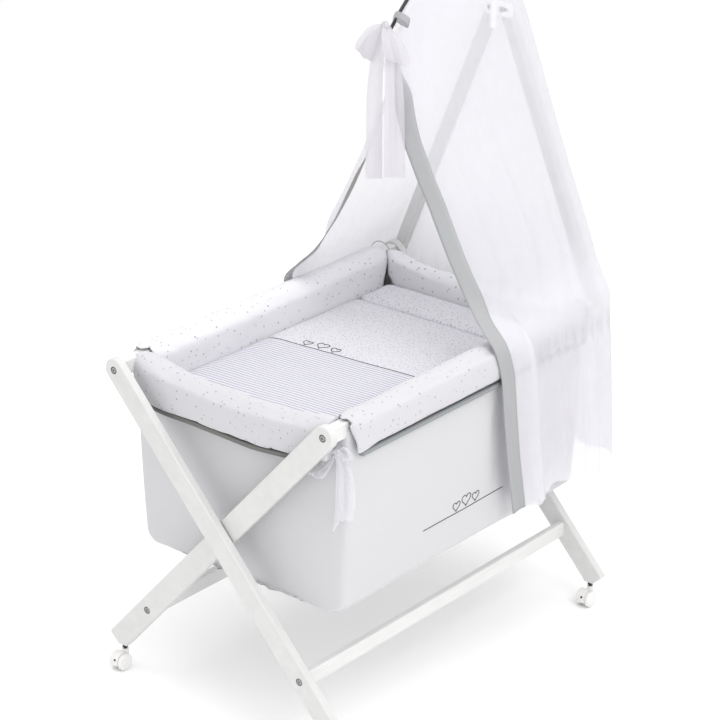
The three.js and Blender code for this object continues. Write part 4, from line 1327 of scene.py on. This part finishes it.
def canopy_bow():
    left = ribbon_grid(
        [(0.006, 0.078, 1.440), (-0.012, 0.068, 1.430), (-0.029, 0.062, 1.402), (-0.044, 0.064, 1.372),
         (-0.047, 0.073, 1.361), (-0.044, 0.083, 1.372), (-0.024, 0.086, 1.408), (0.006, 0.082, 1.438)],
        [(0.8, 0.3, -0.55)] * 3,
        [0.012, 0.030, 0.042, 0.046, 0.042, 0.028, 0.012], 1.3, 0.0022, 0.1,
    )
    right = ribbon_grid(
        [(0.010, 0.076, 1.440), (0.022, 0.066, 1.426), (0.036, 0.062, 1.400), (0.045, 0.064, 1.372),
         (0.047, 0.073, 1.363), (0.045, 0.080, 1.376), (0.032, 0.083, 1.408), (0.010, 0.082, 1.438)],
        [(0.75, 0.55, -0.30)] * 3,
        [0.012, 0.032, 0.044, 0.046, 0.044, 0.030, 0.012], 1.3, 0.0022, 0.6,
    )
    tail_left = ribbon_grid(
        [(0.004, 0.080, 1.436), (-0.015, 0.080, 1.37), (-0.024, 0.080, 1.29), (-0.026, 0.080, 1.19),
         (-0.027, 0.080, 1.083)],
        [FACING] * 2,
        [0.012, 0.030, 0.035, 0.036, 0.037], 1.1, 0.0022, 0.3,
    )
    tail_right = ribbon_grid(
        [(0.010, 0.084, 1.436), (0.020, 0.084, 1.37), (0.026, 0.084, 1.29), (0.028, 0.084, 1.19),
         (0.029, 0.084, 1.096)],
        [FACING] * 2,
        [0.012, 0.036, 0.043, 0.045, 0.047], 1.3, 0.0024, 0.9,
    )
    knot = knot_grid((0.008, 0.076, 1.440), 0.009, 0.018)
    return tulle_bow("canopy_bow", "bow", [left, right, tail_left, tail_right, knot])


def ribbon_loop():
    """The end of the grey ribbon, looped once over the rod beside the bow."""
    path = smooth_curve(
        [(0.006, 0.106, 1.452), (0.018, 0.100, 1.461), (0.034, 0.100, 1.459), (0.045, 0.108, 1.449),
         (0.037, 0.118, 1.438), (0.020, 0.120, 1.440), (0.008, 0.114, 1.448)]
    )[::12]
    across = np.tile((-0.35, 0.75, 0.55), (len(path), 1))
    piece = strip("veil_trim_loop", path, across, 0.018, 0.0009, "loop", 0.001)
    lay_uv(piece, lambda p: p[:, [0, 2]])
    return piece


def corner_bow():
    """The small tie that holds the bag to the right rail at the foot corner."""
    loop = ribbon_grid(
        [(0.287, -0.420, 0.705), (0.262, -0.430, 0.706), (0.232, -0.434, 0.688), (0.212, -0.432, 0.656),
         (0.226, -0.424, 0.638), (0.256, -0.418, 0.656), (0.285, -0.416, 0.701)],
        [(0.4, 0, -1), (0.3, 0, -1), (0.9, 0, -0.5), (0.8, 0, 0.5), (0.6, 0, 0.9)],
        [0.010, 0.036, 0.056, 0.042, 0.012], 1.5, 0.003, 0.1,
    )
    other = ribbon_grid(
        [(0.290, -0.414, 0.706), (0.304, -0.412, 0.716), (0.314, -0.406, 0.706), (0.312, -0.404, 0.688),
         (0.302, -0.408, 0.690), (0.292, -0.412, 0.702)],
        [(0, 0.6, -1), (0, 0.8, -0.8), (0, 1, -0.2), (0, 0.6, 0.8)],
        [0.008, 0.014, 0.016, 0.010], 1.2, 0.0015, 0.4,
    )
    tail = ribbon_grid(
        [(0.290, -0.417, 0.702), (0.303, -0.411, 0.672), (0.309, -0.410, 0.630), (0.309, -0.411, 0.585),
         (0.308, -0.411, 0.548)],
        [FACING] * 2,
        [0.008, 0.027, 0.033, 0.034, 0.028], 2.2, 0.0022, 0.7,
    )
    strand = ribbon_grid(
        [(0.288, -0.418, 0.700), (0.297, -0.418, 0.668), (0.299, -0.421, 0.620), (0.297, -0.422, 0.575),
         (0.286, -0.419, 0.537), (0.270, -0.412, 0.512)],
        [FACING] * 2,
        [0.006, 0.016, 0.018, 0.016, 0.012, 0.004], 1.2, 0.0016, 0.2,
    )
    knot = knot_grid((0.289, -0.416, 0.704), 0.007, 0.014)
    return tulle_bow("corner_bow", "tie", [loop, other, tail, strand, knot])


# ---------- Assembly of the looks ----------

make_camera()
make_studio()
paint_cad_nodes()

pads = {
    "bumper_left": side_pad("pad_left", "bumper_left", -1, 3.1),
    "bumper_right": side_pad("pad_right", "bumper_right", 1, 11.7),
    "bumper_foot": end_pad("pad_foot", "bumper_foot", 5.2),
    "bumper_head": end_pad("pad_head", "bumper_head", 8.4),
}
# The left and head pads take the lighter copy of their cloth: painted light in place of the light the veil
# keeps off them.
for node in ("bumper_left", "bumper_head"):
    pads[node].data.materials[0] = MATERIALS["pad_lit"]
bag = make_bag()
mattress, quilt, pillow = make_bedding()
board = make_board()
veil, veil_right, veil_left = make_veil()
trims = [
    front_trim("veil_trim_right", veil_right, 1.40, "trim", right_twist),
    # The left ribbon takes the darker copy of the ribbon cloth: painted shade.
    front_trim("veil_trim_left", veil_left, 1.17, "trim_shaded", left_twist),
    ribbon_loop(),
]
bow = canopy_bow()
tie = corner_bow()
quilt_motif = motif(
    "quilt_stitch", quilt,
    (-0.240, QUILT_LINE[0][1] + 0.001, 0.70), (0.240, QUILT_LINE[1][1] - 0.001, 0.70),
    ((0.20, 0.8), (0.28, 1.0), (0.36, 0.8)), 0.030, up=(0, 1, 0), direction=(0, 0, -1),
)
side_motif = motif(
    "bag_stitch", bag, (0.29, -0.137, 0.416), (0.29, 0.150, 0.416),
    ((0.40, 0.8), (0.52, 1.0), (0.64, 0.8)), 0.032, up=(0, 0, 1), direction=(-1, 0, 0),
)


# ---------- Edges, caster plugs and screw rings ----------

BAND_HEIGHT = 0.0095
BAND_THICKNESS = 0.011
# How far inside the pads' faces the bands run, and below their lower edges.
BAND_IN, BAND_DROP = (0.0085, 0.0095), 0.002
PIPING_RADIUS = 0.0011
END_PIPING_RADIUS = 0.0008
# A caster plug's sections as (depth, radius), the height of its middle, and its seat's depth in the hood.
DOT_SECTIONS = ((0.0012, 0.0026), (0.0, 0.0028), (-0.0008, 0.0024), (-0.0010, 0.0012))
DOT_HEIGHT, DOT_SEAT = 0.028, 0.0012
# A screw ring's section as (radius, height over the wood), and the wood's depth below the screw's end.
CUP_SECTION = ((0.0066, 0.0), (0.0070, 0.0006), (0.0078, 0.0009), (0.0084, 0.0005), (0.0086, -0.0004))
CUP_DROP = 0.0007
BODY_OF = {node: body for body, nodes in frame["record"]["behaviour"]["bodies"].items() for node in nodes}


def edge_cords():
    """Grey bands along the pads' outer lower edges, thin piping by the bedding and round the side pads'
    head ends, each with the name of its side of the cradle."""
    made = []
    for side, word in ((-1, "left"), (1, "right")):
        low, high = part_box("bumper_" + word)
        outer, inner = across_pad("bumper_" + word, side)
        ys = np.linspace(low.y + 0.003, high.y - 0.004, 70)
        path = [(outer - side * BAND_IN[0], y, SIDE_PAD_BOTTOM - BAND_DROP) for y in ys if y > low.y + 0.022]
        up = [(0.0, 0.0, 1.0)] * len(path)
        # The side bands take the lighter copy of the band cloth: painted light.
        made.append((strip(f"band_{word}", path, up, BAND_HEIGHT * 0.85, BAND_THICKNESS, "band_lit"), word))
        bed = np.array([(inner + side * 0.001, y, 0.6915) for y in ys[:-2]])
        bed = slanted(bed, low.y, high.y)
        made.append((tube(f"piping_inner_{word}", bed, PIPING_RADIUS, "piping"), word))
        ring = pad_section(outer, inner, SIDE_PAD_THICK, high.z, (SIDE_PAD_BOTTOM, low.z), 0.0015)[:29]
        line = slanted(np.array([(x, high.y - 0.0035, z) for x, z in ring]), low.y, high.y)
        made.append((tube(f"piping_head_{word}", line, END_PIPING_RADIUS, "band", 6), word))
    low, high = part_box("bumper_foot")
    xs = np.linspace(-FOOT_PAD_REACH + 0.004, 0.235, 90)
    path = [(x, low.y + BAND_IN[1], float(END_PAD_BOTTOM(x)) - BAND_DROP) for x in xs]
    slope = np.gradient([p[2] for p in path], xs)
    up = np.stack([-slope, 0 * slope, 1 + 0 * slope], 1)
    made.append((strip("band_foot", path, up, BAND_HEIGHT, BAND_THICKNESS, "band"), "foot"))
    low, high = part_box("bumper_head")
    path = [(x, low.y - 0.001, 0.699) for x in np.linspace(-0.232, 0.245, 40)]
    made.append((tube("piping_head", path, PIPING_RADIUS, "piping"), "head"))
    return made


def caster_dots():
    """The small dark plug in the front of each caster's hood."""
    for name in sorted(n for n in frame["nodes"] if n.endswith("_hood")):
        low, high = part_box(name)
        x = (low.x + high.x) / 2
        seat = low.y + DOT_SEAT
        turn = circle(16)
        rings = [upright_ring(x, seat + depth, DOT_HEIGHT, radius, turn) for depth, radius in DOT_SECTIONS]
        dot = loft(name.replace("_hood", "_dot"), rings, "dark")
        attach(dot, name.replace("_hood", ""))


def screw_cups():
    """The pressed steel ring each screw's head sits in, on the outer face of the legs and bars."""
    for name in sorted(frame["nodes"]):
        if "screw" not in name and "canopy_bolt" not in name:
            continue
        low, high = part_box(name)
        x, z = (low.x + high.x) / 2, (low.z + high.z) / 2
        out = 1 if low.y > 0 else -1
        face = (high.y if out > 0 else low.y) - out * CUP_DROP
        rings = [upright_ring(x, face + out * lift, z, radius, TURN) for radius, lift in CUP_SECTION]
        cup = ring_mesh(name + "_cup", rings, "cup")
        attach(cup, BODY_OF[name])


cords = edge_cords()
caster_dots()
screw_cups()

# ---------- What each piece rides on and stands for ----------


def folds(piece):
    """A soft piece between the rails, carried by the outer frame, with a mesh of its own."""
    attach(piece, "outer_frame")
    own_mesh(piece)


def follows(piece, word):
    """A cover or its edging, by its side of the cradle: the two side ones follow their rails."""
    if word in ("foot", "head"):
        folds(piece)
    else:
        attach(piece, "inner_frame" if word == "right" else "outer_frame")


for node, piece in pads.items():
    follows(piece, node.replace("bumper_", ""))
    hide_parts(node)
for piece, word in cords:
    follows(piece, word)

for piece, node, slot in (
    (bag, "bag", "bag_fabric"),
    (mattress, "mattress", "mattress_fabric"),
    (quilt, "quilt", "striped_fabric"),
    (pillow, "pillow", "speckled_fabric"),
    (board, "base_board", "board_wood"),
):
    folds(piece)
    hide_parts(node)
for piece in (*quilt_motif, *side_motif):
    folds(piece)

for piece in (veil, *trims):
    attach(piece, "canopy_top")
    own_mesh(piece)
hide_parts("veil")

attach(bow, "canopy_top")
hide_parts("bow")
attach(tie, "inner_frame")


# ---------- Floor ----------

FLOOR_HALF = 8.0


def make_floor():
    corners = [(FLOOR_HALF * x, FLOOR_HALF * y, 0) for x, y in ((-1, -1), (1, -1), (1, 1), (-1, 1))]
    floor = mesh_object("floor", corners, [(0, 1, 2, 3)], "bag")
    material, tree, shader = new_material("floor_paper", 0.9, specular=0.1)
    paper = noise_of(tree, place_of(tree), 3.0, 2.0)
    colour_with(tree, shader, blend_colours(tree, paper, (0.93, 0.93, 0.93), (0.95, 0.95, 0.95)))
    floor.data.materials[0] = material


make_floor()
